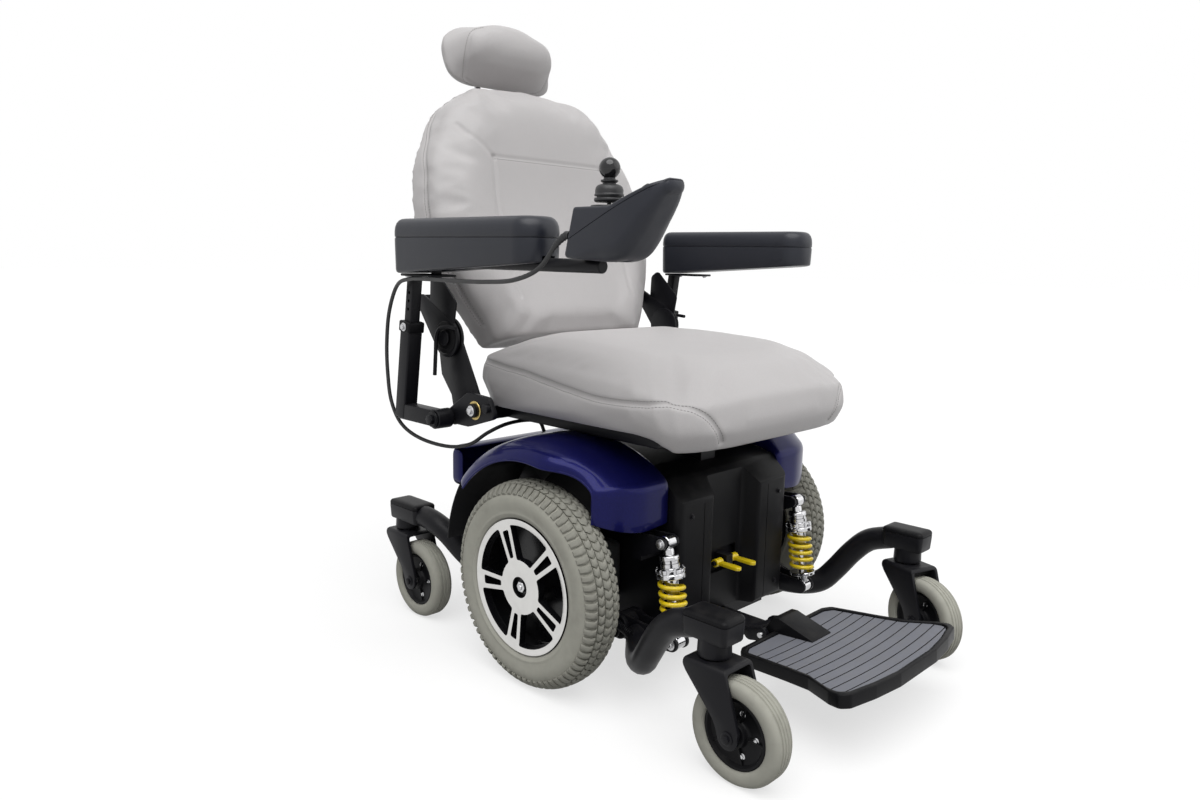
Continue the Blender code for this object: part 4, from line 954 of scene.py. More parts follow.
class WHEELCHAIR_OT_drive_wheels(Operator):
    """Drive tyres with a block tread, on cast rims with five twin-bar spokes"""
    bl_idname = "wheelchair.drive_wheels"
    bl_label = "Drive wheels"

    def execute(self, context):
        wheels = context.scene.wheelchair.wheels
        tyre = self.tyre(wheels)
        rim = self.rim()
        for name, side in reversed(SIDES):
            spot = shift(side * DRIVE_TRACK, 0.0, DRIVE_RADIUS) @ facing(side)
            for piece, label, slot in ((tyre, "drive_tyre", "grey_tyre"), (rim, "drive_rim", "cast_rim")):
                piece = moved(piece if side > 0 else copied(piece), spot)
                settle(piece, f"{name}_{label}_look", name + "_drive_wheel", (f"{name}_{label}",), 42.0)
        return {"FINISHED"}

    def tyre(self, wheels):
        half = ((0.1158, 0.0285), (0.1172, 0.0322), (0.1196, 0.0342), (0.122, 0.0349), (0.1238, 0.0361),
                (0.1257, 0.0366), (0.1276, 0.0361), (0.1292, 0.0361), (0.136, 0.0371), (0.143, 0.0376),
                (0.1495, 0.0372), (0.156, 0.035), (0.162, 0.0305), (0.1675, 0.024), (0.1712, 0.016),
                (0.1732, 0.008), (0.1738, 0.0))
        section = list(half) + [(r, -h) for r, h in reversed(half[:-1])]
        carcass = dress(ring_lathe(section, 96, "x"), "tyre_wall")
        return merge(carcass, dress(self.tread(wheels), "tyre_tread"))

    def tread(self, wheels):
        """One pitch of blocks drawn flat, laid over the tyre's crown and repeated round it."""
        pitch = 2 * math.pi * DRIVE_RADIUS / wheels.pitches
        edge, drop_in, root, spans = 0.0021, 0.0017, 0.0048, 60
        wave = ((0.0, 0.0042), (0.009, -0.0018), (0.0155, 0.0034), (0.022, -0.0016), (0.03, 0.0012),
                (0.047, 0.0))

        def sway(across):
            for (low, one), (high, two) in zip(wave, wave[1:]):
                if abs(across) <= high:
                    return one + (two - one) * (abs(across) - low) / (high - low)
            return 0.0

        columns = [((-0.0083, -0.0041, 0.0, 0.0041, 0.0083), 0.0, wheels.groove)]
        for side in (1, -1):
            for marks, start, gap in (((0.0099, 0.0155, 0.0213), pitch / 2, wheels.groove),
                                      ((0.0229, 0.03, 0.0375, 0.0455), 0.0, wheels.groove * 1.45)):
                columns.append((tuple(sorted(side * mark for mark in marks)), start, gap))
        blocks = []
        for marks, start, gap in columns:
            rows = [[(u, start + (pitch - gap) * t + sway(u), 0.0) for u in marks] for t in (-0.5, 0.0, 0.5)]
            blocks.append(skin(rows, False))
        sheet = merge(*blocks)
        edit(sheet)
        bpy.ops.mesh.inset(thickness=edge, depth=drop_in, use_boundary=True)
        bpy.ops.mesh.select_all(action="SELECT")
        bpy.ops.mesh.region_to_loop()
        bpy.ops.mesh.extrude_region_move(TRANSFORM_OT_translate={"value": (0.0, 0.0, -root)})
        bpy.ops.object.mode_set(mode="OBJECT")
        closed(sheet)
        crown = ((0.178, 0.0), (0.1777, 0.0095), (0.1754, 0.019), (0.1706, 0.0282), (0.1634, 0.0348),
                 (0.1545, 0.0379))
        crown = route([(r, h, 0.0) for r, h in crown], spans + 1)
        reach = long(crown) / spans

        def laid(across, along, up):
            index = min(spans - 1, int(abs(across) / reach))
            here, ahead = crown[index], crown[index + 1]
            at = here.lerp(ahead, abs(across) / reach - index)
            out = Vector((ahead.y - here.y, here.x - ahead.x)).normalized()
            radius, height = at.x + out.x * (up - drop_in), at.y + out.y * (up - drop_in)
            angle = along / DRIVE_RADIUS
            return math.copysign(height, across), radius * math.sin(angle), radius * math.cos(angle)

        shaped(sheet, laid)
        pick()
        bpy.ops.object.empty_add(rotation=(2 * math.pi / wheels.pitches, 0.0, 0.0))
        spacer = bpy.context.object
        row = sheet.modifiers.new("round", "ARRAY")
        row.count, row.use_relative_offset, row.use_object_offset = wheels.pitches, False, True
        row.offset_object = spacer
        worked(sheet, row)
        drop(spacer)
        return sheet

    def rim(self):
        face = lathe(((0.0, 0.0346), (0.034, 0.0345), (0.046, 0.0335), (0.1, 0.0318), (0.1142, 0.0352),
                      (0.1155, 0.0345), (0.1155, 0.0195), (0.0, 0.0195)), 120, "x")
        tools = []
        for spoke in range(SPOKES):
            angle = 360 / SPOKES * spoke + 90 + SPOKE_TURN
            gap = arc((0, 0), 0.105, 9.0, 63.0, 12) + arc((0, 0), 0.0465, 57.6, 14.4, 4)
            slot = ((0.05, -0.0046), (0.0975, -0.008), (0.0975, 0.008), (0.05, 0.0046))
            for outline, radius in ((gap, 0.0042), (slot, 0.0034)):
                tools.append(moved(slab(rounded(outline, radius, 3), 0.0, 0.05), turn(angle, "Z")))
        tools.append(lathe(drum(0.018, 0.025, 0.05), 48))
        carve(face, aimed(merge(*tools), "x"))
        soften(face, 0.0008, 2, 35)
        dress(face, "enamel")
        dress_some(face, "turned_metal", lambda at, normal: normal.x > 0.55 and at.x > 0.0295)
        barrel = ring_lathe(((0.1153, 0.02), (0.1153, -0.031), (0.1125, -0.031), (0.1095, -0.0275),
                             (0.106, -0.01), (0.105, 0.017), (0.101, 0.0205)), 96, "x")
        hub = lathe(((0.0, 0.0205), (0.034, 0.0205), (0.0325, 0.015), (0.03, -0.042), (0.016, -0.042),
                     (0.016, -0.0575), (0.0, -0.0575)), 48, "x")
        dish = ring_lathe(((0.03, -0.006), (0.1056, -0.0085), (0.1056, -0.0125), (0.03, -0.01)), 72, "x")
        washer = lathe(((0.0, 0.0245), (0.0128, 0.0245), (0.0133, 0.0255), (0.0128, 0.0268), (0.0, 0.0268)),
                       40, "x")
        nut = hexagon(0.0098, 0.026, 0.033)
        stud = lathe(((0.0, 0.026), (0.0048, 0.026), (0.0048, 0.0345), (0.004, 0.0354), (0.0, 0.0354)),
                     24, "x")
        return merge(face, *dressed("enamel", barrel, hub, dish, washer), *dressed("zinc", nut, stud))


class WHEELCHAIR_OT_casters(Operator):
    """Casters: grooved tyres, bolted hubs and steel forks"""
    bl_idname = "wheelchair.casters"
    bl_label = "Casters"

    def execute(self, context):
        masters = (("caster_tyre", self.tyre(), "grey_tyre", "caster"),
                   ("caster_hub", self.hub(), "black_plastic", "caster"),
                   ("fork", self.fork(), "black_paint", "swivel"))
        for name, side in SIDES:
            for end, (x, y) in (("front", FRONT_SWIVEL), ("rear", REAR_SWIVEL)):
                angle = LEFT_CASTER_TURN if (name, end) == ("left", "front") else 0.0
                settle_copies(masters, f"{name}_{end}", shift(side * x, y, 0.0) @ turn(angle, "Z"))
        drop(*(master[1] for master in masters))
        return {"FINISHED"}

    def on_axle(self, obj):
        return moved(obj, shift(0.0, -CASTER_TRAIL, CASTER_RADIUS))

    def tyre(self):
        half = [(0.0523, 0.0152), (0.0538, 0.018), (0.0565, 0.0197), (0.061, 0.0205), (0.066, 0.0202),
                (0.07, 0.0192), (0.073, 0.017), (0.0748, 0.014), (0.0757, 0.0112)]
        for middle in (0.0098, 0.0033):
            half += [(0.0763, middle + 0.0012), (0.0752, middle + 0.0006), (0.075, middle),
                     (0.0752, middle - 0.0006), (0.0765, middle - 0.0012)]
        return self.on_axle(dress(ring_lathe(mirrored(half), 72, "x"), "caster_rubber"))

    def hub(self):
        half = [(0.0068, 0.0195), (0.016, 0.0195), (0.0182, 0.0188), (0.0192, 0.017), (0.0196, 0.012),
                (0.0215, 0.0098), (0.025, 0.0092), (0.04, 0.0098), (0.044, 0.0108), (0.0462, 0.014),
                (0.0475, 0.016), (0.05, 0.0163), (0.052, 0.0152)]
        bolts, circle = 5, 0.0325
        parts = [dress(ring_lathe(mirrored(half), 60, "x"), "moulded")]
        for side, bolt_turn, rib_turn in ((1, 20, 56), (-1, 56, 20)):
            for angle in (360 / bolts * index for index in range(bolts)):
                a = math.radians(angle + bolt_turn)
                parts.append(bolt(0.0031, (side * 0.0094, circle * math.sin(a), circle * math.cos(a)), side))
                rib = block((side * 0.0085, -0.0016, 0.019), (side * 0.0128, 0.0016, 0.046), 0.0008, 2)
                parts.append(dress(moved(rib, turn(angle + rib_turn, "X")), "moulded"))
        return self.on_axle(merge(*parts))

    def fork(self):
        """Steel strip folded over the wheel, with a stem, and an axle bolt through both legs."""
        axle = (-CASTER_TRAIL, CASTER_RADIUS)
        leg = [(0.031, 0.1585), (0.031, 0.1705), (-0.041, 0.1705), (-0.0688, 0.0875)]
        leg += arc(axle, 0.0172, 165, 330, 10) + [(-0.0285, 0.0925, 0.06), (0.0255, 0.15)]
        strip = ((-0.0328, 0.05), (-0.0328, 0.1705, 0.01), (0.0328, 0.1705, 0.01), (0.0328, 0.05),
                 (0.0268, 0.05), (0.0268, 0.164, 0.005), (-0.0268, 0.164, 0.005), (-0.0268, 0.05))
        body = shared(slab(rounded(leg, 0.01, 4), -0.04, 0.04, "x"),
                      slab(rounded(strip, 0.001, 5), -0.09, 0.06, "y"))
        dress(soften(body, 0.001, 2, 40), "powder")
        stem = lathe(((0.0, 0.169), (0.015, 0.169), (0.015, 0.1715), (0.0095, 0.1725), (0.0095, 0.212),
                      (0.0, 0.212)), 32)
        parts = [body, dress(stem, "zinc")]
        for side in (1, -1):
            spacer = lathe(drum(0.009, 0.02, 0.027), 24, "x")
            parts.append(dress(moved(spacer, facing(side, *axle)), "zinc"))
            parts.append(bolt(0.0066, (side * 0.0327, *axle), side, look="powder"))
        shaft = lathe(drum(0.006, -0.033, 0.033), 24, "x")
        parts.append(dress(moved(shaft, shift(0, *axle)), "zinc"))
        return merge(*parts)


# Arms and shocks

class WHEELCHAIR_OT_caster_arms(Operator):
    """Bent tube arms with their swivel heads"""
    bl_idname = "wheelchair.caster_arms"
    bl_label = "Caster arms"

    def execute(self, context):
        for end, master in (("front", self.front()), ("rear", self.rear())):
            settle_pair(master, end + "_arm_look", "{}_" + end + "_link", end + "_arm", 40.0)
        return {"FINISHED"}

    def head(self, x, y, top, ahead, behind):
        """Cast block with a lid on top and a barrel for the caster's stem."""
        def ring(inset, below):
            corner = max(0.002, 0.009 - inset)
            plan = oblong(x, 0.0258 - inset, y - ahead + inset, y + behind - inset, corner, corner, 5)
            return [(px, py, top - below) for px, py in plan]

        lower = ((0.008, 0.04), (0.0035, 0.039), (0.0016, 0.036), (0.0, 0.016), (0.0, 0.01), (0.001, 0.0095))
        upper = ((0.001, 0.0092), (0.0, 0.0086), (0.0, 0.006), (0.0012, 0.0034), (0.0036, 0.0016),
                 (0.008, 0.0004), (0.014, 0.0))
        body = skin([ring(*step) for step in lower])
        lid = skin([ring(*step) for step in upper])
        barrel = lathe(((0.0, 0.1722), (0.0228, 0.1722), (0.0245, 0.1735), (0.025, 0.1765),
                        (0.0238, top - 0.03), (0.0, top - 0.03)), 40)
        seal = ring_lathe(tube(0.0105, 0.02, 0.1712, 0.1724), 32)
        for part in (barrel, seal):
            moved(part, shift(x, y, 0))
        return [dress(body, "powder"), dress(lid, "moulded"), dress(barrel, "powder"), dress(seal, "boot")]

    def sleeve(self, pivot):
        body = ring_lathe(tube(0.0128, 0.022, 0.163, 0.2135, 0.0015), 40, "x")
        return dress(moved(body, shift(0, *pivot[1:])), "powder")

    def front(self):
        _, y, z = FRONT_PIVOT
        bends = ((0.2, -0.142, 0.1), (0.22, -0.16, 0.092), (0.248, -0.186, 0.088),
                 (0.266, -0.212, 0.097), (0.278, -0.233, 0.122), (0.289, -0.263, 0.164),
                 (0.295, -0.293, 0.193), (FRONT_SWIVEL[0], -0.336, 0.209))
        parts = [dress(pipe(route(bends, 44), 0.0215, 6), "powder"), self.sleeve(FRONT_PIVOT)]
        for low in (0.1735, 0.2005):
            plate = slab(capsule((y, z), SHOCK_FOOT[1:], 0.022, 0.013), low, low + 0.006, "x")
            hole = moved(lathe(drum(0.0128, 0.1, 0.3), 32, "x"), shift(0, y, z))
            parts.append(dress(carve(soften(plate, 0.001, 2), hole), "powder"))
        pin = lathe(drum(0.0042, 0.175, 0.205), 20, "x")
        parts.append(dress(moved(pin, shift(0, *SHOCK_FOOT[1:])), "zinc"))
        parts.append(bolt(0.0062, (0.2064, *SHOCK_FOOT[1:]), 1))
        return merge(*parts, *self.head(*FRONT_SWIVEL, 0.236, 0.036, 0.044))

    def rear(self):
        z = REAR_PIVOT[2]
        bends = ((0.189, 0.184, z), (0.194, 0.209, z), (0.22, 0.238, 0.112), (0.25, 0.267, 0.146),
                 (0.271, 0.303, 0.187), (REAR_SWIVEL[0], 0.345, 0.204), (REAR_SWIVEL[0], 0.395, 0.207))
        arm = dress(pipe(route(bends, 40), 0.0215, 6), "powder")
        return merge(arm, self.sleeve(REAR_PIVOT), *self.head(*REAR_SWIVEL, 0.23, 0.062, 0.032))


class WHEELCHAIR_OT_shocks(Operator):
    """Coil-over shocks: plated damper, toothed collar and yellow coil"""
    bl_idname = "wheelchair.shocks"
    bl_label = "Shock absorbers"

    def execute(self, context):
        top, foot = Vector(SHOCK_TOP), Vector(SHOCK_FOOT)
        length = (top - foot).length
        tilt = -math.degrees(math.asin((top.y - foot.y) / length))
        masters = (("shock_body", self.damper(), "chrome", "shock_upper"),
                   ("shock_rod", self.slider(length), "chrome", "shock_lower"),
                   ("shock_spring", self.coil(), "yellow_coil", "shock_upper"))
        for name, side in SIDES:
            spot = shift(side * top.x, top.y, top.z) @ turn(tilt, "X")
            *_, spring = settle_copies(masters, name, spot)
            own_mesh(spring)
        drop(*(master[1] for master in masters))
        return {"FINISHED"}

    def eye(self, z, inner):
        """Eyelet with a rubber bush."""
        ring = ring_lathe(tube(inner + 0.0022, 0.0115, -0.0095, 0.0095, 0.001), 36, "x")
        bush = ring_lathe(tube(inner, inner + 0.0024, -0.01, 0.01), 28, "x")
        spot = shift(0, 0, z)
        return [dress(moved(ring, spot), "chrome_plate"), dress(moved(bush, spot), "boot")]

    def damper(self):
        neck = lathe(((0.0, -0.0098), (0.0078, -0.0098), (0.009, -0.0125), (0.009, -0.0225), (0.0, -0.0225)),
                     32)
        body = lathe(((0.0, -0.02), (0.014, -0.02), (0.016, -0.0215), (0.0165, -0.0235), (0.0165, -0.028),
                      (0.015, -0.029), (0.015, -0.033), (0.0165, -0.034), (0.0165, -0.0415), (0.0, -0.0415)),
                     48)
        collar = lathe(((0.0, -0.041), (0.0225, -0.041), (0.0245, -0.0425), (0.0245, -0.048),
                        (0.0228, -0.0495), (0.0245, -0.051), (0.0245, -0.057), (0.0235, -0.058),
                        (0.0, -0.058)), 48)
        notches = [moved(block((0.0215, -0.0016, -0.05), (0.03, 0.0016, -0.04)), turn(30 * k, "Z"))
                   for k in range(12)]
        carve(collar, merge(*notches))
        soften(collar, 0.0005, 2, 40)
        barrel = ring_lathe(((0.0066, -0.057), (0.012, -0.057), (0.012, -0.0935), (0.0108, -0.095),
                             (0.0066, -0.095)), 36)
        return merge(*dressed("chrome_plate", neck, body, collar, barrel), *self.eye(0.0, 0.0051))

    def slider(self, length):
        rod = lathe(((0.0, -0.083), (0.0048, -0.083), (0.0055, -0.084), (0.0055, -0.138), (0.0, -0.138)), 28)
        seat = lathe(((0.0, -0.137), (0.0235, -0.137), (0.0245, -0.138), (0.0245, -0.142),
                      (0.0235, -0.143), (0.012, -0.144), (0.009, -0.146), (0.009, 0.009 - length),
                      (0.0, 0.009 - length)), 44)
        return merge(*dressed("chrome_plate", rod, seat), *self.eye(-length, 0.0072))

    def coil(self):
        """Five turns whose end turns lie flat."""
        top, bottom, turns, mean, wire, steps = -0.0621, -0.1329, 5, 0.0195, 0.0038, 5 * 36
        points = []
        for index in range(steps + 1):
            share = index / steps
            lift = share + 0.075 * math.sin(2 * math.pi * share) / math.pi
            angle = 2 * math.pi * turns * share
            points.append((mean * math.cos(angle), mean * math.sin(angle), top + (bottom - top) * lift))
        return dress(pipe(points, wire, 5), "coil_yellow")


# Base

class WHEELCHAIR_OT_shrouds(Operator):
    """Blue wheel shrouds with a bright lip and a black liner, and the blue tail panel"""
    bl_idname = "wheelchair.shrouds"
    bl_label = "Shrouds"

    def execute(self, context):
        settle_pair(self.shroud(), "shroud_look", "base", "shroud", 32.0)
        settle(self.tail(), "tail_panel", "base", ("rear_cover",), 32.0)
        return {"FINISHED"}

    def shroud(self):
        """Arch over the wheel that runs down in front as a panel, in one skin."""
        crown, corner = 0.246, 0.022
        knots = ((0.1605, -0.056), (0.1605, -0.03), (0.1615, -0.013), (0.172, -0.004), (0.205, 0.0),
                 (0.245, 0.0006), (0.28, -0.001), (0.31, -0.0055), (0.327, -0.014), (0.3345, -0.025),
                 (0.3362, -0.032))
        section = route([(x, drop_in, 0.0) for x, drop_in in knots], 30)
        rows = [self.row(section, *station) for station in self.stations(crown, corner)]
        arch = dress(soften(thick(skin(rows, False), 0.003), 0.0009, 2, 45), "shroud_blue")

        def inside(at, normal):
            out = Vector((0.0, at.y, at.z - DRIVE_RADIUS)).normalized()
            outer_wall = normal.x < -0.5 and at.x > 0.29
            inner_wall = normal.x > 0.5 and at.x < 0.17
            return normal.dot(out) < -0.2 or outer_wall or inner_wall

        dress_some(arch, "liner", inside)
        lip = dress(pipe([Vector(row[-1]) for row in rows], 0.0022, 3), "shroud_blue")
        return merge(arch, lip, self.flap(crown - 0.0035))

    def flap(self, radius):
        """Black guard that closes the wheel well behind the tyre."""
        rows = []
        for degrees in range(46, 86, 3):
            a = math.radians(degrees)
            y, z = radius * math.sin(a), DRIVE_RADIUS + radius * math.cos(a)
            rows.append([(x, y, z) for x in (0.166, 0.24, 0.314)])
        return dress(soften(thick(skin(rows, False), 0.0025), 0.0006, 2, 45), "liner")

    def stations(self, crown, corner):
        """Places along the shroud from rear to front: y, z, lean, and how far the outer edge is drawn in."""
        places, steps = [], 44
        for step in range(steps + 1):
            degrees = 50 - 90 * step / steps
            a = math.radians(degrees)
            drawn_in = rise((-8 - degrees) / 32)
            places.append((crown * math.sin(a), DRIVE_RADIUS + crown * math.cos(a), a, drawn_in))
        y, z, a, _ = places[-1]
        y, z = y - corner * math.sin(a), z - corner * math.cos(a)
        for step in range(1, 9):
            a = math.radians(-40 - 50 * step / 8)
            places.append((y + corner * math.sin(a), z + corner * math.cos(a), a, 1.0))
        for step in range(1, 5):
            places.append((y - corner, z - 0.0175 * step, a, 1.0 + step))
        return places

    def row(self, section, y, z, lean, drawn_in):
        """The shroud's section at one place. Past 1, the last value counts the rows down the panel."""
        share, foot = min(1.0, drawn_in), max(0.0, drawn_in - 1) / 4
        points = []
        for x, drop_in, _ in section:
            far = max(0.0, (x - 0.215) / 0.1212)
            deep = drop_in * (1 - 0.75 * share)
            lift = foot * (0.012 * (0.336 - x) / 0.176 + 0.026 * far ** 1.5)
            back = 0.034 * share * far ** 1.5
            points.append((x - 0.038 * share * far ** 1.4, y + back + deep * math.sin(lean),
                           z + deep * math.cos(lean) + lift))
        return points

    def tail(self):
        half, low, high, shell, front, rear = 0.286, 0.292, 0.37, 0.003, 0.228, 0.262
        body = block((-half, front, low), (half, rear + 0.02, high), 0.018, 8)
        carve(body, block((-0.4, rear, 0.1), (0.4, 0.4, 0.5)),
              block((shell - half, front - 0.03, low - 0.03), (half - shell, rear - shell, high - shell)))
        soften(body, 0.0016, 3, 50)
        dress(body, "shroud_blue")
        parts = [body]
        for x in (-0.1, 0.1):
            bracket = block((x - 0.012, 0.223, 0.31), (x + 0.012, rear - 0.001, 0.335), 0.001, 2)
            parts.append(dress(bracket, "moulded"))
            parts.append(bolt(0.0042, (x, rear - 0.0002, 0.3225), 1, "y", "powder"))
        return merge(*parts)


class WHEELCHAIR_OT_front_cover(Operator):
    """Black cover with the lever recess, and the two yellow levers"""
    bl_idname = "wheelchair.front_cover"
    bl_label = "Front cover"

    def execute(self, context):
        settle(self.cover(), "front_cover", "base", ("battery_cover",), 32.0)
        settle_pair(self.lever(), "release_lever", "{}_lever", "freewheel_lever", 40.0)
        return {"FINISHED"}

    def lever(self):
        """Flat blade on a ring round the pin, narrower towards the ring."""
        _, y, z = LEVER_PIN
        middle = 0.022

        def narrowed(px, py, pz):
            share = 0.78 + 0.22 * min(1.0, max(0.0, (y - 0.012 - py) / 0.03))
            return middle + (px - middle) * share, py, pz

        outline = oblong(middle, 0.0072, y - 0.05, y + 0.003, 0.007, 0.002, 6)
        blade = shaped(soften(slab(outline, z - 0.003, z + 0.003), 0.0011, 3, 50), narrowed)
        ring = moved(ring_lathe(tube(0.0046, 0.0075, 0.0125, 0.0315, 0.0007), 28, "x"), shift(0, y, z))
        return merge(*dressed("coil_yellow", blade, ring))

    def cover(self):
        shell, low, half = 0.003, 0.096, 0.158
        front, rear, top = -0.19, 0.2225, 0.372

        def profile(inset):
            return rounded(((front + inset, low - inset), (front + inset, 0.325 - inset * 0.4),
                            (-0.15 + inset * 0.4, 0.362 - inset), (-0.1, top - inset),
                            (rear - inset, top - inset), (rear - inset, low - inset)), 0.01, 4)

        def plan(inset):
            side, deep = half - inset, front + inset
            half_plan = ((side, rear - inset, 0.002), (side, deep, 0.016), (0.068 + inset, deep, 0.01),
                         (0.054 + inset, -0.16 + inset, 0.01))
            return rounded([(-x, y, r) for x, y, r in half_plan] + list(reversed(half_plan)), 0.01, 5)

        body = shared(slab(profile(0.0), -half, half, "x"), slab(plan(0.0), 0.05, 0.45))
        soften(body, 0.0045, 3, 40)
        hollow = shared(slab(profile(shell), shell - half, half - shell, "x"), slab(plan(shell), 0.05, 0.45))
        carve(body, hollow, block((-0.2, -0.1515, 0.05), (0.2, 0.3, 0.2755)),
              block((-0.04, -0.175, 0.168), (0.04, -0.145, 0.212)))
        holes = [block((-0.0215, y - 0.0215, 0.36), (0.0215, y + 0.0215, 0.4)) for y in (-0.1, 0.15)]
        seams = [block((x - 0.0007, front - 0.01, 0.09), (x + 0.0007, front + 0.0012, 0.318))
                 for x in (-0.094, 0.094)]
        carve(body, *holes, *seams)
        gland = lathe(((0.0, 0.371), (0.0085, 0.371), (0.0085, 0.3765), (0.007, 0.3775), (0.0068, 0.384),
                       (0.005, 0.3862), (0.0, 0.3862)), 28)
        parts = [dress(body, "moulded"), dress(moved(gland, shift(-0.125, 0.185, 0)), "boot")]
        for x in (-0.128, 0.128):
            for z in (0.125, 0.3):
                parts.append(bolt(0.0036, (x, front + 0.0002, z), -1, "y", "powder"))
        return merge(*parts)


class WHEELCHAIR_OT_chassis(Operator):
    """Tub, motors, batteries and seat post, finished for the views from behind and below"""
    bl_idname = "wheelchair.chassis"
    bl_label = "Chassis"

    def execute(self, context):
        for node, look in (("chassis_frame", "powder"), ("seat_post", "powder"),
                           ("left_battery", "case_grey"), ("right_battery", "case_grey"),
                           ("power_module", "cast_grey"), ("joystick_gimbal", "cast_grey")):
            dress(frame["nodes"][node], look)
        settle_pair(self.motor(), "motor_look", "base", "motor", 38.0)
        settle(self.fasteners(), "chassis_fasteners", "base", smooth=35.0)
        return {"FINISHED"}

    def motor(self):
        """Right-angle gearbox with its motor and brake behind."""
        x, z = 0.205, DRIVE_RADIUS
        case = block((0.1503, -0.055, z - 0.053), (0.262, 0.055, z + 0.054), 0.012, 5)
        flange = ring_lathe(((0.018, 0.26), (0.04, 0.26), (0.04, 0.2625), (0.038, 0.264),
                             (0.018, 0.264)), 40, "x")
        can = lathe(((0.0, 0.045), (0.04, 0.045), (0.04, 0.07), (0.0385, 0.072), (0.0385, 0.15),
                     (0.04, 0.152), (0.04, 0.184), (0.038, 0.186), (0.0, 0.186)), 56, "y")
        brake = lathe(((0.0, 0.184), (0.0315, 0.184), (0.033, 0.187), (0.033, 0.202), (0.0305, 0.205),
                       (0.0, 0.205)), 44, "y")
        parts = [*dressed("cast_grey", case, moved(flange, shift(0, 0, z))),
                 dress(moved(can, shift(x, 0, z)), "enamel"), dress(moved(brake, shift(x, 0, z)), "moulded")]
        for y in (-0.042, 0.042):
            for up in (-0.04, 0.041):
                parts.append(bolt(0.0045, (0.2619, y, z + up), 1))
        return merge(*parts)

    def fasteners(self):
        """Nuts on the arm pivots and shock pins, and small tension springs."""
        parts = []
        for _, side in SIDES:
            for pivot in (FRONT_PIVOT, REAR_PIVOT):
                parts.append(bolt(0.0105, (side * 0.2224, *pivot[1:]), side, look="powder"))
            parts.append(bolt(0.0058, (side * 0.2079, *SHOCK_TOP[1:]), side))
            start, end = Vector((side * 0.2285, -0.103, 0.1235)), Vector((side * 0.2285, -0.152, 0.1085))
            parts.append(self.tension_spring(start, end))
        return merge(*parts)

    def tension_spring(self, start, end):
        heading = (end - start).to_track_quat("Z", "Y")
        length, radius, turns, sides = (end - start).length, 0.0062, 14, 14
        points = [(0.0, 0.0, -0.006), (0.0, radius, -0.001)]
        for index in range(turns * sides + 1):
            angle = math.pi / 2 + 2 * math.pi * index / sides
            along = length * index / (turns * sides)
            points.append((radius * math.cos(angle), radius * math.sin(angle), along))
        points += [(0.0, radius, length + 0.001), (0.0, 0.0, length + 0.006)]
        spring = pipe(points, 0.001, 2)
        return dress(moved(spring, Matrix.Translation(start) @ heading.to_matrix().to_4x4()), "powder")


class WHEELCHAIR_OT_foot_platform(Operator):
    """Foot platform with its ribbed mat, and the hinge bracket"""
    bl_idname = "wheelchair.foot_platform"
    bl_label = "Foot platform"

    def execute(self, context):
        settle(self.mount(), "foot_bracket", "base", ("footrest_mount",), 36.0)
        spot = shift(*FOOT_HINGE) @ turn(-5.0, "X")
        settle(moved(self.platform(), spot), "foot_platform_look", "foot_platform",
               ("footplate",), 36.0)
        return {"FINISHED"}

    def mount(self):
        _, y, z = FOOT_HINGE
        bar = block((-0.024, y + 0.016, 0.074), (0.024, -0.1503, 0.092), 0.0022, 3)
        yoke = block((-0.04, y + 0.016, z - 0.016), (0.04, y + 0.03, z + 0.001), 0.002, 3)
        parts = [bar, yoke]
        for _, side in SIDES:
            lug = slab(capsule((y + 0.024, z - 0.006), (y, z), 0.011, 0.012),
                       *sorted((side * 0.0305, side * 0.0395)), "x")
            parts.append(soften(lug, 0.0012, 2))
        pin = lathe(((0.0, -0.044), (0.0045, -0.044), (0.005, -0.0432), (0.005, 0.0432), (0.0045, 0.044),
                     (0.0, 0.044)), 24, "x")
        parts = [*dressed("powder", *parts), dress(moved(pin, shift(0, y, z)), "zinc")]
        for x in (-0.012, 0.012):
            parts.append(bolt(0.0042, (x, -0.195, 0.0918), 1, "z", "powder"))
        return merge(*parts)

    def platform(self):
        """In the hinge's own frame: a rimmed tray, a mat with curved grooves, and the hinge wedge."""
        half = ((0.122, -0.02), (0.14, -0.03), (0.15, -0.12), (0.157, -0.165), (0.18, -0.212),
                (0.184, -0.232), (0.172, -0.244), (0.12, -0.256), (0.06, -0.264))
        rim = rounded(list(half) + [(-x, y) for x, y in reversed(half)], 0.012, 4)
        middle = -0.135

        def inset(across, along):
            return [(x * across, middle + (y - middle) * along) for x, y in rim]

        tray = slab(rim, -0.014, 0.008)
        carve(tray, slab(inset(0.948, 0.925), 0.003, 0.02))
        dress(soften(tray, 0.0028, 3, 50), "moulded")
        mat = slab(inset(0.938, 0.912), 0.0015, 0.0048)
        reach, bow, shares = 0.19, 0.014, [step / 10 for step in range(-10, 11)]
        grooves = []
        for index in range(10):
            y = -0.05 - 0.0196 * index
            line = [(share * reach, y - bow * (1 - share ** 2), 0.0052) for share in shares]
            grooves.append(pipe(line, 0.0013, 1))
        carve(mat, merge(*grooves))
        dress(mat, "mat")
        # Painted shade: the grooves' walls and floors and the mat's edges take the black liner finish, while
        # the top faces keep the grey.
        dress_some(mat, "liner", lambda at, normal: normal.z < 0.95 or at.z < 0.0045)
        wedge = ((-0.004, -0.002), (-0.004, 0.011), (-0.018, 0.031), (-0.03, 0.031), (-0.095, 0.0062),
                 (-0.095, 0.001), (-0.03, -0.008))
        wedge = soften(slab(rounded(wedge, 0.004, 3), -0.029, 0.029, "x"), 0.0016, 3, 50)
        barrel = ring_lathe(tube(0.0056, 0.0115, -0.029, 0.029, 0.001), 32, "x")
        return merge(tray, mat, *dressed("moulded", wedge, barrel))


# Seat

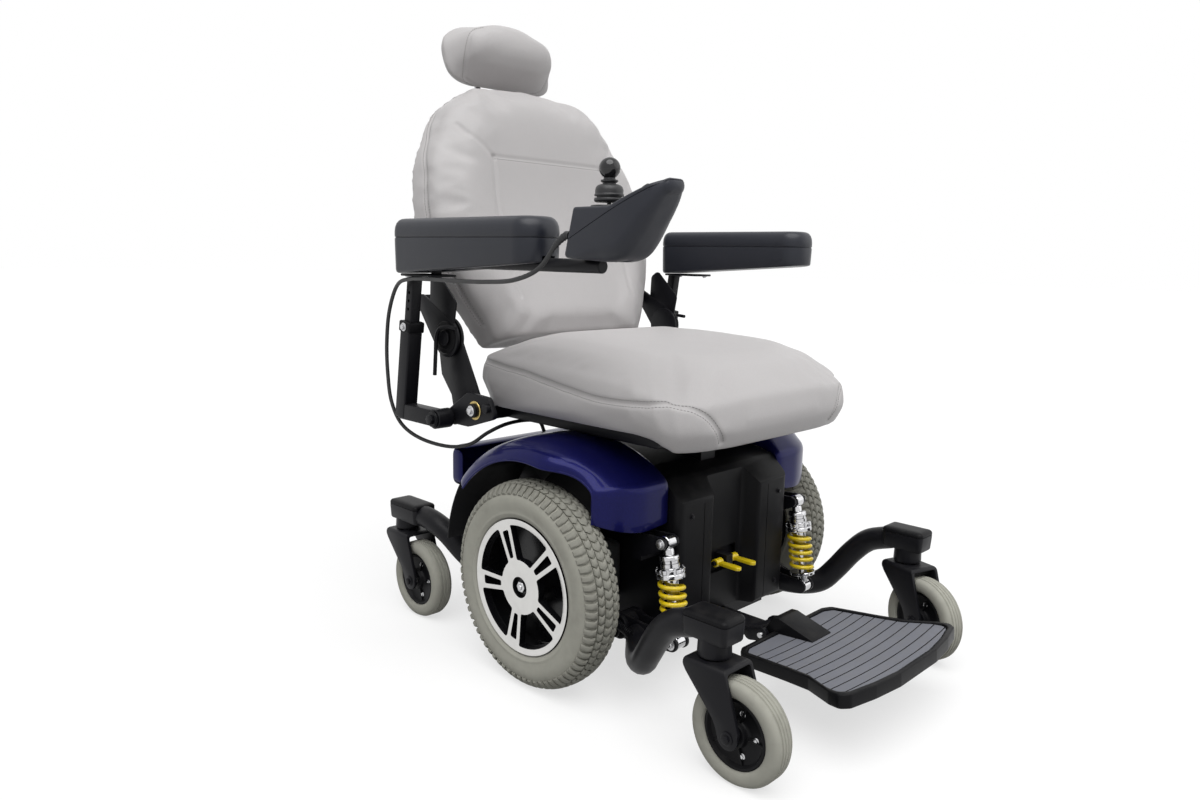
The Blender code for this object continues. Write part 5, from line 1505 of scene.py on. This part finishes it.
class WHEELCHAIR_OT_seat_frame(Operator):
    """Seat rails and pan, recline plates, backrest shell and headrest stays"""
    bl_idname = "wheelchair.seat_frame"
    bl_label = "Seat frame"

    def execute(self, context):
        settle(self.rails(), "seat_rails", "base", ("seat_frame",), 36.0)
        settle(self.shell(), "backrest_shell", "backrest", ("back_frame",), 36.0)
        top, foot, bend = 0.582, 0.375, 0.02
        side = [(-STAY_X, STAY_Y, z) for z in (foot, 0.45, 0.52, top - bend)]
        curve = [(-STAY_X + bend * (1 - math.cos(a)), STAY_Y, top - bend + bend * math.sin(a))
                 for a in (math.radians(15 * k) for k in range(1, 7))]
        half = side + curve
        path = [back_at(*point) for point in half + [(-x, y, z) for x, y, z in reversed(half)]]
        settle(dress(pipe(path, 0.0065, 6), "chrome_plate"), "headrest_stays_look", "headrest",
               ("headrest_stays",), 40.0)
        return {"FINISHED"}

    def rails(self):
        low, high = 0.4256, 0.4506
        bar_y = ARM_PIVOT[0]
        parts = [block((-0.205, -0.17, low), (0.205, -0.145, high), 0.002),
                 block((-0.336, bar_y - 0.0125, low), (0.336, bar_y + 0.0125, high), 0.003),
                 block((-0.195, -0.19, high - 0.001), (0.195, 0.18, high + 0.002), 0.001, 2)]
        for _, side in SIDES:
            parts.append(block((side * 0.188, -0.182, low), (side * 0.213, 0.205, high), 0.002))
            rim = arc(RECLINE, 0.037, -12, 192, 20)
            foot = [(0.176, 0.5), (0.16, 0.47), (0.158, 0.43), (0.236, 0.43), (0.246, 0.47), (0.276, 0.505)]
            plate = slab(rim + foot, *sorted((side * 0.2945, side * 0.3005)), "x")
            parts.append(soften(plate, 0.0012, 2))
            ear = ((0.074, 0.452), (0.15, 0.428), (0.2125, 0.428), (0.2125, 0.4485), (0.15, 0.489),
                   (0.092, 0.486))
            ear = slab(rounded(ear, 0.011, 5), *sorted((side * 0.3262, side * 0.3362)), "x")
            parts.append(soften(ear, 0.0016, 3))
        parts = dressed("powder", *parts)
        hinge, bar, ear_bolt, ear_stop = RECLINE, ARM_PIVOT, (0.1285, 0.46), (0.093, 0.468)
        discs = ((hinge, 0.008, 0.296, 0.3125, "zinc"), (hinge, 0.014, 0.3098, 0.314, "powder"),
                 (bar, 0.008, 0.33, 0.3745, "zinc"), (bar, 0.0145, 0.3722, 0.3752, "powder"),
                 (ear_bolt, 0.0165, 0.3358, 0.338, "gilt"), (ear_bolt, 0.0125, 0.3375, 0.345, "powder"),
                 (ear_stop, 0.008, 0.3358, 0.344, "powder"))
        handle = ((0.206, 0.5953), (0.232, 0.5965), (0.256, 0.591), (0.266, 0.574), (0.2685, 0.545),
                  (0.2718, 0.5049))
        for _, side in SIDES:
            for at, radius, start, end, look in discs:
                disc = lathe(drum(radius, start, end, 0.0008), 32, "x")
                parts.append(dress(moved(disc, facing(side, *at)), look))
            parts.append(bolt(0.009, (side * 0.3745, *bar), side, look="powder"))
            parts.append(bolt(0.0062, (side * 0.3445, *ear_bolt), side))
            path = route([(side * 0.3185, y, z) for y, z in handle], 30)
            parts.append(dress(pipe(path, 0.0036, 3), "powder"))
        return merge(*parts)

    def shell(self):
        """Rear shell with its cross bar, hinge plates and headrest guide."""
        rear = BACK_REAR
        heights = [0.06 + 0.41 * k / 16 for k in range(17)]
        right = [(back_half(z) - 0.022, z) for z in heights]
        outline = rounded(right + [(-x, z) for x, z in reversed(right)], 0.02, 3)
        shell = dress(soften(slab(outline, rear, rear + 0.006, "y"), 0.0022, 3, 50), "moulded")
        guide = dress(block((-0.085, rear + 0.0005, 0.35), (0.085, 0.072, 0.48), 0.006, 4), "moulded")
        bar = dress(block((-0.309, rear + 0.002, 0.07), (0.309, rear + 0.018, 0.096), 0.003, 3), "powder")
        parts = [shell, guide, bar]
        for x in (-STAY_X, STAY_X):
            collar = ring_lathe(((0.007, 0.476), (0.012, 0.476), (0.012, 0.4815), (0.0105, 0.483),
                                 (0.007, 0.483)), 28)
            parts.append(dress(moved(collar, shift(x, STAY_Y, 0)), "moulded"))
        for _, side in SIDES:
            near, far = sorted((side * 0.3033, side * 0.3092))
            plate = slab(capsule((0.0, 0.0), (rear + 0.007, 0.083), 0.036, 0.014, 16), near, far, "x")
            wing = ((-0.03, 0.018), (-0.004, -0.02), (0.034, 0.01), (0.033, 0.06), (0.01, 0.118),
                    (-0.012, 0.124), (-0.022, 0.104), (-0.05, 0.052))
            wing = slab(rounded(wing, 0.012, 5), near + 0.0008, far - 0.0008, "x")
            parts += dressed("powder", soften(plate, 0.0012, 2), soften(wing, 0.0012, 2))
            disc = lathe(((0.0, 0.3088), (0.03, 0.3088), (0.03, 0.3104), (0.0285, 0.3116),
                          (0.0215, 0.3116), (0.0205, 0.31), (0.0, 0.31)), 44, "x")
            parts.append(dress(moved(disc, facing(side)), "moulded"))
        return moved(merge(*parts), back_frame())


def stuffed(node, cap, held, voxel=0.0062, rule=None):
    """A cushion's solid as a stuffed cover: remeshed, smoothed, swelled as cloth and smoothed again.

    The cover swells by less than the cap, and a rule may shape it first.
    """
    obj = solid_copy(node)
    obj.data.remesh_voxel_size = voxel
    bpy.ops.object.voxel_remesh()
    if rule:
        shaped(obj, rule)
    edit(obj)
    bpy.ops.transform.shrink_fatten(value=-0.0012)
    bpy.ops.object.mode_set(mode="OBJECT")
    evened(obj, SMOOTH_FIRST)
    start = [vertex.co.copy() for vertex in obj.data.vertices]
    swell(obj, held)
    for vertex, place in zip(obj.data.vertices, start):
        step = vertex.co - place
        if step.length > 0:
            vertex.co = place + step * (cap * math.tanh(step.length / cap) / step.length)
    evened(obj, SMOOTH_LAST)
    finer = obj.modifiers.new("finer", "SUBSURF")
    finer.levels = finer.render_levels = 1
    worked(obj, finer)
    return dress(obj, "vinyl")


def evened(obj, times_over):
    """Smooth a cover a few times over."""
    even = obj.modifiers.new("even", "SMOOTH")
    even.factor, even.iterations = 0.5, times_over
    return worked(obj, even)


def swell(obj, held):
    """Blow the cover up as cloth, held where it rests on its frame."""
    group = obj.vertex_groups.new(name="held")
    group.add([vertex.index for vertex in obj.data.vertices if held(*vertex.co)], 1.0, "REPLACE")
    cloth = obj.modifiers.new("stuffing", "CLOTH")
    cover = cloth.settings
    cover.quality, cover.mass = 4, 0.3
    cover.tension_stiffness = cover.compression_stiffness = 18.0
    cover.shear_stiffness, cover.bending_stiffness = 8.0, 3.0
    cover.use_pressure, cover.uniform_pressure_force = True, settings().upholstery.pressure
    cover.effector_weights.gravity = 0.0
    cover.vertex_group_mass = "held"
    cloth.collision_settings.use_collision = False
    cloth.point_cache.frame_start, cloth.point_cache.frame_end = 1, CLOTH_FRAMES
    for number in range(1, CLOTH_FRAMES + 1):
        bpy.context.scene.frame_set(number)
    worked(obj, cloth)
    bpy.context.scene.frame_set(1)
    obj.vertex_groups.clear()


class Cover:
    """A finished cover that seams are pressed into and stitches laid on."""

    def __init__(self, obj):
        self.obj = obj
        self.threads = []

    def surface(self):
        return BVHTree.FromPolygons([v.co.copy() for v in self.obj.data.vertices],
                                    [tuple(face.vertices) for face in self.obj.data.polygons])

    def on_surface(self, path, tree):
        return [tree.find_nearest(point)[:2] for point in path]

    def press(self, path, width, depth):
        """Draw the cover in along a line."""
        near = KDTree(len(path))
        for index, point in enumerate(path):
            near.insert(point, index)
        near.balance()
        moves = []
        for vertex in self.obj.data.vertices:
            gap = near.find(vertex.co)[2]
            if gap < width:
                moves.append((vertex, vertex.normal * (depth * (1 - (gap / width) ** 2) ** 2)))
        for vertex, step in moves:
            vertex.co -= step

    def seam(self, knots, rows=(1, -1), width=0.0085, depth=0.0034):
        """A sewn line through the knots, with a row of stitches on each side that is asked for."""
        count = max(12, int(long([Vector(k) for k in knots]) / 0.004))
        line = [hit for hit, _ in self.on_surface(route(knots, count), self.surface())]
        line = route(line[::3] + ([line[-1]] if (len(line) - 1) % 3 else []), count * 2)
        self.press(line, width, depth)
        tree = self.surface()
        for row in rows:
            offset = []
            for index, point in enumerate(line):
                ahead = line[min(index + 1, len(line) - 1)] - line[max(index - 1, 0)]
                _, normal = tree.find_nearest(point)[:2]
                away = ahead.cross(normal).normalized() * settings().upholstery.rows * row
                hit, normal, *_ = tree.find_nearest(point + away)
                offset.append(hit + normal * 0.0001)
            self.threads.append(self.stitches(offset))

    def stitches(self, path):
        """One stitch repeated along a line."""
        pitch = settings().upholstery.stitch
        reach, radius = pitch * 0.38, 0.00058
        stitch = lathe(((0.0, -reach), (radius, -reach * 0.6), (radius, reach * 0.6), (0.0, reach)), 6, "x")
        guide = drawn(path)
        row = stitch.modifiers.new("row", "ARRAY")
        row.fit_type, row.curve = "FIT_CURVE", guide
        row.use_relative_offset, row.use_constant_offset = False, True
        row.constant_offset_displace = (pitch, 0.0, 0.0)
        worked(stitch, row)
        bend = stitch.modifiers.new("bend", "CURVE")
        bend.object = guide
        worked(stitch, bend)
        drop(guide)
        return dress(stitch, "thread")

    def settled(self, name, body, node):
        """Settle the stitches and the cover."""
        settle(merge(*self.threads), name + "_stitching", body, smooth=60.0)
        settle(self.obj, name + "_cover", body, (node,), 70.0)


class WHEELCHAIR_OT_seat_cushion(Operator):
    """Seat cushion with a sewn edge that turns down at the front corners"""
    bl_idname = "wheelchair.seat_cushion"
    bl_label = "Seat cushion"

    def execute(self, context):
        def deeper(x, y, z):
            """Let the front edge hang lower."""
            return x, y, z - 0.012 * rise((0.5 - z) / 0.06) * rise((-0.165 - y) / 0.07)

        cover = Cover(stuffed("seat_cushion", 0.007, lambda x, y, z: z < 0.461, rule=deeper))
        half = ((0.28, 0.205, 0.544), (0.2815, 0.17, 0.539), (0.2828, 0.1262, 0.5336),
                (0.2836, 0.0711, 0.5288), (0.2845, 0.0185, 0.5209), (0.2856, -0.0558, 0.5113),
                (0.2857, -0.1242, 0.5052), (0.2753, -0.1989, 0.5075), (0.2388, -0.237, 0.5087),
                (0.2141, -0.2657, 0.5007), (0.1911, -0.2753, 0.484), (0.1733, -0.2724, 0.4627),
                (0.159, -0.264, 0.445))
        for _, side in SIDES:
            cover.seam([(side * x, y, z) for x, y, z in half])
        cover.settled("seat", "base", "seat_cushion")
        return {"FINISHED"}


class WHEELCHAIR_OT_backrest_cushion(Operator):
    """Backrest cushion: hollow middle panel between bolsters, sewn round its edge"""
    bl_idname = "wheelchair.backrest_cushion"
    bl_label = "Backrest cushion"

    def execute(self, context):
        curve = route([(up, half, 0.0) for up, half in BACK_OUTLINE], 100)
        foot, tall = BACK_OUTLINE[0][0], BACK_OUTLINE[-1][0] - BACK_OUTLINE[0][0]
        seam = (BACK_SEAM - foot) / tall
        rear = 0.036
        columns = [k / 6 for k in range(7)]
        rows = [0.0, 0.06, 0.17, 0.3, 0.46, seam - 0.035, seam, seam + 0.035, 0.8, 0.9, 1.0]

        def smooth_half(height):
            for low, high in zip(curve, curve[1:]):
                if height <= high.x:
                    return low.y + (high.y - low.y) * (height - low.x) / (high.x - low.x)
            return curve[-1].y

        def hollow(across, up):
            """Depth of the solid's rim, hollow and crease at one of its knots."""
            crease = 0.004 if abs(up - seam) < 0.001 and across < 0.75 else 0.0
            rim = 0.03 * max(across, abs(2 * up - 1)) ** 8
            bowl = 0.034 * rise((0.84 - across) / 0.4) * rise(up / 0.14) * rise((0.82 - up) / 0.18)
            return rim + bowl + crease

        def between(value, knots):
            """The knots beside a value, and its share of the way from one to the other."""
            value = min(max(value, knots[0]), knots[-1])
            low, high = next(pair for pair in zip(knots, knots[1:]) if value <= pair[1])
            return low, high, (value - low) / (high - low)

        def depth_of_solid(across, up):
            left, right, beside = between(across, columns)
            low, high, climb = between(up, rows)
            lower = hollow(left, low) * (1 - beside) + hollow(right, low) * beside
            upper = hollow(left, high) * (1 - beside) + hollow(right, high) * beside
            return lower + (upper - lower) * climb

        def shallower(x, y, z):
            """Smooth the outline, draw the hollow out towards the lower edge, and make it less deep."""
            place = in_back(x, y, z)
            across, up = abs(place.x) / (back_half(place.z) - 0.008), (place.z - foot) / tall
            bowl = 0.016 * rise((0.86 - across) / 0.44) * rise((up + 0.25) / 0.6) * rise((0.92 - up) / 0.46)
            rim = 0.03 * max(min(across, 1.0), min(2 * up - 1, 1.0)) ** 8
            chin = 0.008 * max(0.0, 1 - max(0.0, up) / 0.1) ** 2
            near = rise((rear - place.y) / 0.03)
            deeper = (bowl + rim + chin - depth_of_solid(across, up)) * near
            wide = place.x * smooth_half(place.z) / back_half(place.z)
            return back_at(wide, place.y + deeper, place.z - 0.008 * rise((0.1 - up) / 0.1))

        cover = Cover(stuffed("back_cushion", 0.008, lambda *place: in_back(*place).y > rear, rule=shallower))
        edge = [(back_half(z) - 0.003, 0.004 + 0.03 * max(0.0, min(1.0, (z - 0.33) / 0.13)), z)
                for z in (0.02, 0.08, 0.14, 0.2, 0.26, 0.32, 0.38, 0.43, 0.47, 0.5)]
        loop = edge + [(-x, y, z) for x, y, z in reversed(edge)]
        cover.seam([back_at(*point) for point in loop])
        panel = ((-0.157, 0.06), (-0.163, 0.1), (-0.166, 0.17), (-0.16, 0.25), (-0.153, 0.31), (-0.15, 0.343))
        shoulder = ((-0.15, 0.343), (-0.178, 0.372), (-0.205, 0.405))
        for _, side in SIDES:
            cover.seam([back_at(side * x, -0.02, z) for x, z in panel], rows=(), depth=0.0016, width=0.009)
            cover.seam([back_at(side * x, -0.03, z) for x, z in shoulder], rows=(), depth=0.0014)
        across = [back_at(x, -0.02, BACK_SEAM) for x in (-0.15, -0.1, -0.05, 0.0, 0.05, 0.1, 0.15)]
        cover.seam(across, rows=(1,), depth=0.0014, width=0.007)
        cover.settled("backrest", "backrest", "back_cushion")
        return {"FINISHED"}


class WHEELCHAIR_OT_headrest_cushion(Operator):
    """Headrest pillow with a sewn front panel"""
    bl_idname = "wheelchair.headrest_cushion"
    bl_label = "Headrest cushion"

    def execute(self, context):
        def held(x, y, z):
            place = in_back(x, y, z)
            return place.y > 0.058 or (abs(place.x) < 0.07 and place.y > 0.042 and place.z < 0.592)

        def roundness(s, t, power):
            """How far out a point lies on an oval of a power, against its farther coordinate."""
            most = max(s, t, 1e-6)
            return ((s / most) ** power + (t / most) ** power) ** (1 / power)

        def squarer(x, y, z):
            """Square the lower corners and round the upper ones."""
            place = in_back(x, y, z)
            s, t = abs(place.x) / HEAD_HALF[0], (place.z - HEAD_MIDDLE) / HEAD_HALF[1]
            scale = roundness(s, abs(t), 3.2) / roundness(s, abs(t), 4.4 if t < 0 else 2.2)
            return back_at(place.x * scale, place.y, HEAD_MIDDLE + (place.z - HEAD_MIDDLE) * scale)

        cover = Cover(stuffed("headrest_cushion", 0.006, held, 0.0052, rule=squarer))
        knots = ((0.0721, 0.44, 1.19), (0.0951, 0.44, 1.1771), (0.1078, 0.44, 1.1594), (0.117, 0.443, 1.1131),
                 (0.1132, 0.443, 1.0772), (0.093, 0.443, 1.06), (0.07, 0.452, 1.052))
        for _, side in SIDES:
            cover.seam([(side * x, y, z) for x, y, z in knots], rows=(1,), depth=0.0016, width=0.0065)
        cover.settled("headrest", "headrest", "headrest_cushion")
        return {"FINISHED"}


# Armrests and joystick

class WHEELCHAIR_OT_armrests(Operator):
    """Flip-back arms, height posts and two-part pads"""
    bl_idname = "wheelchair.armrests"
    bl_label = "Armrests"

    def execute(self, context):
        lean = shift(0.0, *SLEEVE_FOOT) @ turn(SLEEVE_LEAN, "X")
        for name, side in SIDES:
            x = side * ARM_X
            settle(self.arm(x, side, lean), name + "_arm_tube", name + "_armrest_flip",
                   (name + "_armrest_arm",), 36.0)
            settle(self.post(x, side, lean), name + "_arm_post", name + "_armrest_lift",
                   (name + "_armrest_post",), 36.0)
            pad = settle(self.pad(x, side), name + "_arm_pad", name + "_armrest_lift",
                         (name + "_armrest_pad",), 50.0)
        return {"FINISHED"}

    def arm(self, x, side, lean):
        half, gap = 0.0145, 0.0008
        pivot_y, pivot_z = ARM_PIVOT
        boss = ring_lathe(tube(0.0088, 0.0175, 0.3395, 0.3715, 0.001), 36, "x")
        moved(boss, facing(side, *ARM_PIVOT))
        link = block((x - half + gap, pivot_y + 0.012, pivot_z - half),
                     (x + half - gap, SLEEVE_FOOT[0] + 0.008, pivot_z + half), 0.0028, 4)
        sleeve = block((-half, -half, -0.012), (half, half, 0.165), 0.0028, 4)
        carve(sleeve, block((-0.0104, -0.0104, 0.022), (0.0104, 0.0104, 0.2), 0.001, 2))
        collar = block((-0.0168, -0.0168, 0.148), (0.0168, 0.0168, 0.168), 0.003, 3)
        carve(collar, block((-0.0106, -0.0106, 0.1), (0.0106, 0.0106, 0.2)))
        knob = bolt(0.0052, (side * 0.0166, 0.0, 0.158), side, look="zinc")
        for part in (sleeve, collar, knob):
            moved(part, shift(x, 0, 0) @ lean)
        return merge(*dressed("powder", boss, link, sleeve), dress(collar, "moulded"), knob)

    def post(self, x, side, lean):
        stand = shift(x, 0, 0) @ lean
        post = moved(block((-0.01, -0.01, 0.034), (0.01, 0.01, 0.252), 0.0016, 3), stand)
        holes = [moved(lathe(drum(0.003, -0.02, 0.02), 16, "x"), stand @ shift(0, 0, z))
                 for z in (0.19, 0.205, 0.22)]
        carve(post, merge(*holes))
        flange = block((x - 0.026, 0.185, 0.686), (x + 0.026, 0.28, 0.6905), 0.0016, 3)
        parts = dressed("powder", post, flange)
        for y in (0.197, 0.268):
            parts.append(bolt(0.004, (x + side * 0.017, y, 0.6861), -1, "z"))
        if side < 0:
            arm = lathe(((0.0, -0.196), (0.009, -0.196), (0.0102, -0.1945), (0.0102, 0.215),
                         (0.0, 0.215)), 36, "y")
            stay = block((x - 0.008, 0.203, 0.6885), (x + 0.008, 0.213, TUBE_Z), 0.001, 2)
            parts += dressed("powder", moved(arm, shift(x, 0, TUBE_Z)), stay)
        return merge(*parts)

    def pad(self, x, side):
        """Base and cushion in one skin, with a groove where they meet."""
        low, slope, top, seam = 0.6912, 0.717, 0.785, 0.7525

        def floor(y):
            return low + (slope - low) * max(0.0, min(1.0, (0.17 - y) / 0.263))

        def ring(inset):
            return oblong(x, 0.0425 - inset, -0.083 + inset, 0.286 - inset, max(0.004, 0.04 - inset),
                          max(0.004, 0.022 - inset), 12)

        base = ((0.012, 0.0), (0.0055, 0.0), (0.0024, 0.03), (0.0012, 0.1), (0.0006, 0.5), (0.0, 0.96))
        cushion = ((0.0004, seam - 0.001), (0.0016, seam - 0.0004), (0.0016, seam + 0.0004),
                   (0.0004, seam + 0.001), (0.0, seam + 0.0022), (0.0, 0.762), (0.001, 0.77),
                   (0.0035, 0.7765), (0.0075, 0.7812), (0.0125, 0.7838), (0.019, 0.7848), (0.026, top))
        rows = []
        for inset, share in base:
            rows.append([(px, py, floor(py) + (seam - 0.0018 - floor(py)) * share) for px, py in ring(inset)])
        for inset, z in cushion:
            rows.append([(px, py, z) for px, py in ring(inset)])
        pad = skin(rows)
        if side < 0:
            carve(pad, block((x - 0.0125, -0.15, 0.68), (x + 0.0125, 0.218, TUBE_Z + 0.013)))
        return dress(pad, "foam_skin")


class WHEELCHAIR_OT_joystick(Operator):
    """Joystick controller: wedge housing, buttons, boot and ball"""
    bl_idname = "wheelchair.joystick"
    bl_label = "Joystick"

    # Each key's name, place across and ahead on the panel, half width and half depth.
    keys = (("power", 0.022, 0.06, 0.0075, 0.0055), ("horn", -0.022, 0.06, 0.0075, 0.0055),
            ("speed", 0.0, 0.028, 0.017, 0.006))

    def execute(self, context):
        x, y, z = STICK_PIVOT
        front, level, tilt = KEY_PANEL
        panel = shift(x, front, level) @ turn(-tilt, "X")
        settle(self.housing(panel), "joystick_case", "joystick", ("joystick_housing",), 34.0)
        settle(moved(self.stick(), shift(x, y, z)), "joystick_boot", "stick",
               ("joystick_stick",), 45.0)
        for name, across, ahead, wide, deep in self.keys:
            plan = oblong(across, wide, -ahead - deep, -ahead + deep, 0.0022, 0.0022, 4)
            key = soften(slab(plan, -0.006, 0.0014), 0.001, 3, 50)
            settle(moved(dress(key, "boot"), panel), name + "_key_cap", name + "_key",
                   (name + "_button",), 40.0)
        return {"FINISHED"}

    def width(self, at):
        """Half width of the housing: straight sides and a rounded nose."""
        power = 2.3
        ahead = max(0.0, (-0.225 - at) / 0.1045)
        return 0.042 * max(0.0, 1 - ahead ** power) ** (1 / power)

    def section(self, at, low):
        """The housing's outline across, with a small radius on top and a wide one below."""
        front, level, tilt = KEY_PANEL
        high = level + max(0.0, front - at) * math.tan(math.radians(tilt))
        half = self.width(at)
        lower = min(0.006 + 0.018 * rise((-0.178 - at) / 0.05), (high - low) * 0.48, half * 0.8)
        upper = min(0.004 + 0.007 * rise((-0.304 - at) / 0.018), (high - low) * 0.45, half * 0.5)
        across = (arc((half - lower, low + lower), lower, -90, 0, 7)
                  + arc((half - upper, high - upper), upper, 0, 90, 3)
                  + arc((upper - half, high - upper), upper, 90, 180, 3)
                  + arc((lower - half, low + lower), lower, 180, 270, 7))
        return [(STICK_PIVOT[0] + u, at, v) for u, v in across]

    def tip(self, ring, steps=7):
        """Rings that close the housing's last section with a dome."""
        middle = sum((Vector(place) for place in ring), Vector()) / len(ring)
        rings = []
        for k in range(1, steps):
            angle = math.radians(90.0 * k / (steps - 0.7))
            ahead = Vector((0.0, -0.0085, 0.003)) * math.sin(angle)
            rings.append([middle + (Vector(place) - middle) * math.cos(angle) + ahead for place in ring])
        return rings

    def housing(self, panel):
        """Bowl and lid lofted in one body, with a groove between them."""
        x, y, z = STICK_PIVOT
        level = KEY_PANEL[1]
        belly = ((-0.16, 0.7235), (-0.195, 0.721), (-0.222, 0.719), (-0.243, 0.7205), (-0.262, 0.729),
                 (-0.288, 0.76), (-0.306, 0.785), (-0.321, 0.808))
        stations = route([(0.0, at, low) for at, low in belly], 44)
        rings = [self.section(at, low) for _, at, low in stations]
        body = skin(rings + self.tip(rings[-1]))
        shaped(body, lambda u, at, v: (u, at - 0.29 * max(0.0, v - 0.737) * rise((at + 0.21) / 0.05), v))
        soften(body, 0.0025, 3, 50)
        slope = 25.5
        along = 1 / math.cos(math.radians(slope))
        places = [-0.1675 - 0.158 * k / 30 for k in range(31)]
        right = [(self.width(at) - 0.0014, 0.042 + (at - y - 0.042) * along) for at in places]
        rail = slab(((-0.06, -0.17), (0.06, -0.17), (0.06, 0.07), (-0.06, 0.07)), -0.0005, 0.0005)
        carve(rail, slab(right + [(-u, v) for u, v in reversed(right)], -0.01, 0.01))
        carve(body, moved(rail, shift(x, y + 0.042, 0.7475) @ turn(-slope, "X") @ shift(0.0, -0.042, 0.0)))
        bore = moved(lathe(drum(0.0107, -0.25, -0.1), 36, "y"), shift(x, 0, TUBE_Z))
        well = lathe(drum(0.0238, z - 0.03, z + 0.03), 48)
        pockets = [moved(block((across - wide - 0.0005, -ahead - deep - 0.0005, -0.008),
                               (across + wide + 0.0005, -ahead + deep + 0.0005, 0.008)), panel)
                   for _, across, ahead, wide, deep in self.keys]
        carve(body, bore, moved(well, shift(x, y, 0)), *pockets)
        dress(body, "console")
        ring = ring_lathe(((0.0226, -0.005), (0.0262, -0.005), (0.0262, 0.0016), (0.025, 0.003),
                           (0.0226, 0.003)), 48)
        return merge(body, dress(moved(ring, shift(x, y, level)), "boot"))

    def stick(self):
        """Stacked discs, bulb, neck and ball, about the pivot."""
        ball, radius = 0.043, 0.015
        boot = [(0.0, -0.0165), (0.003, -0.0165), (0.003, -0.003), (0.0195, -0.003), (0.021, -0.0012),
                (0.0212, 0.0012), (0.02, 0.0028), (0.0172, 0.0034), (0.0172, 0.0044), (0.0205, 0.005),
                (0.0208, 0.0072), (0.0198, 0.0082)]
        boot += [(0.0125 + 0.0075 * math.cos(a), 0.012 + 0.009 * math.sin(a))
                 for a in (math.radians(angle) for angle in (-15, 10, 35, 60, 85))]
        boot += [(0.0098, 0.0215), (0.0092, 0.0232), (0.012, 0.0246), (0.0124, 0.0262), (0.0112, 0.0274),
                 (0.0085, 0.028), (0.008, 0.03), (0.0, 0.03)]
        knob = [(radius * math.sin(a), ball - radius * math.cos(a))
                for a in (math.radians(7.5 * k) for k in range(25))]
        knob[0], knob[-1] = (0.0, ball - radius), (0.0, ball + radius)
        return merge(dress(lathe(boot, 44), "boot"), dress(lathe(knob, 44), "ball"))


# Panel and run

OPERATORS = (WHEELCHAIR_OT_stage, WHEELCHAIR_OT_lead, WHEELCHAIR_OT_drive_wheels, WHEELCHAIR_OT_casters,
             WHEELCHAIR_OT_caster_arms, WHEELCHAIR_OT_shocks, WHEELCHAIR_OT_shrouds,
             WHEELCHAIR_OT_front_cover, WHEELCHAIR_OT_chassis, WHEELCHAIR_OT_foot_platform,
             WHEELCHAIR_OT_seat_frame, WHEELCHAIR_OT_seat_cushion, WHEELCHAIR_OT_backrest_cushion,
             WHEELCHAIR_OT_headrest_cushion, WHEELCHAIR_OT_armrests, WHEELCHAIR_OT_joystick)


class WHEELCHAIR_PT_looks(Panel):
    """Lists the chair's pieces and the values that shape them"""
    bl_label = "Wheelchair"
    bl_space_type = "VIEW_3D"
    bl_region_type = "UI"
    bl_category = "Wheelchair"

    def draw(self, context):
        for operator in OPERATORS:
            self.layout.operator(operator.bl_idname)
        chair = context.scene.wheelchair
        for group in (chair.upholstery, chair.paint, chair.wheels, chair.stage):
            box = self.layout.box()
            for key in group.__annotations__:
                box.prop(group, key)


CLASSES = (UpholsterySettings, PaintSettings, WheelSettings, StageSettings, ChairSettings, *OPERATORS,
           WHEELCHAIR_PT_looks)


def register():
    for cls in CLASSES:
        bpy.utils.register_class(cls)
    bpy.types.Scene.wheelchair = PointerProperty(type=ChairSettings)


def unregister():
    del bpy.types.Scene.wheelchair
    for cls in reversed(CLASSES):
        bpy.utils.unregister_class(cls)


def main():
    register()
    for operator in OPERATORS:
        group, name = operator.bl_idname.split(".")
        getattr(getattr(bpy.ops, group), name)()
    pick()


if __name__ == "__main__":
    main()
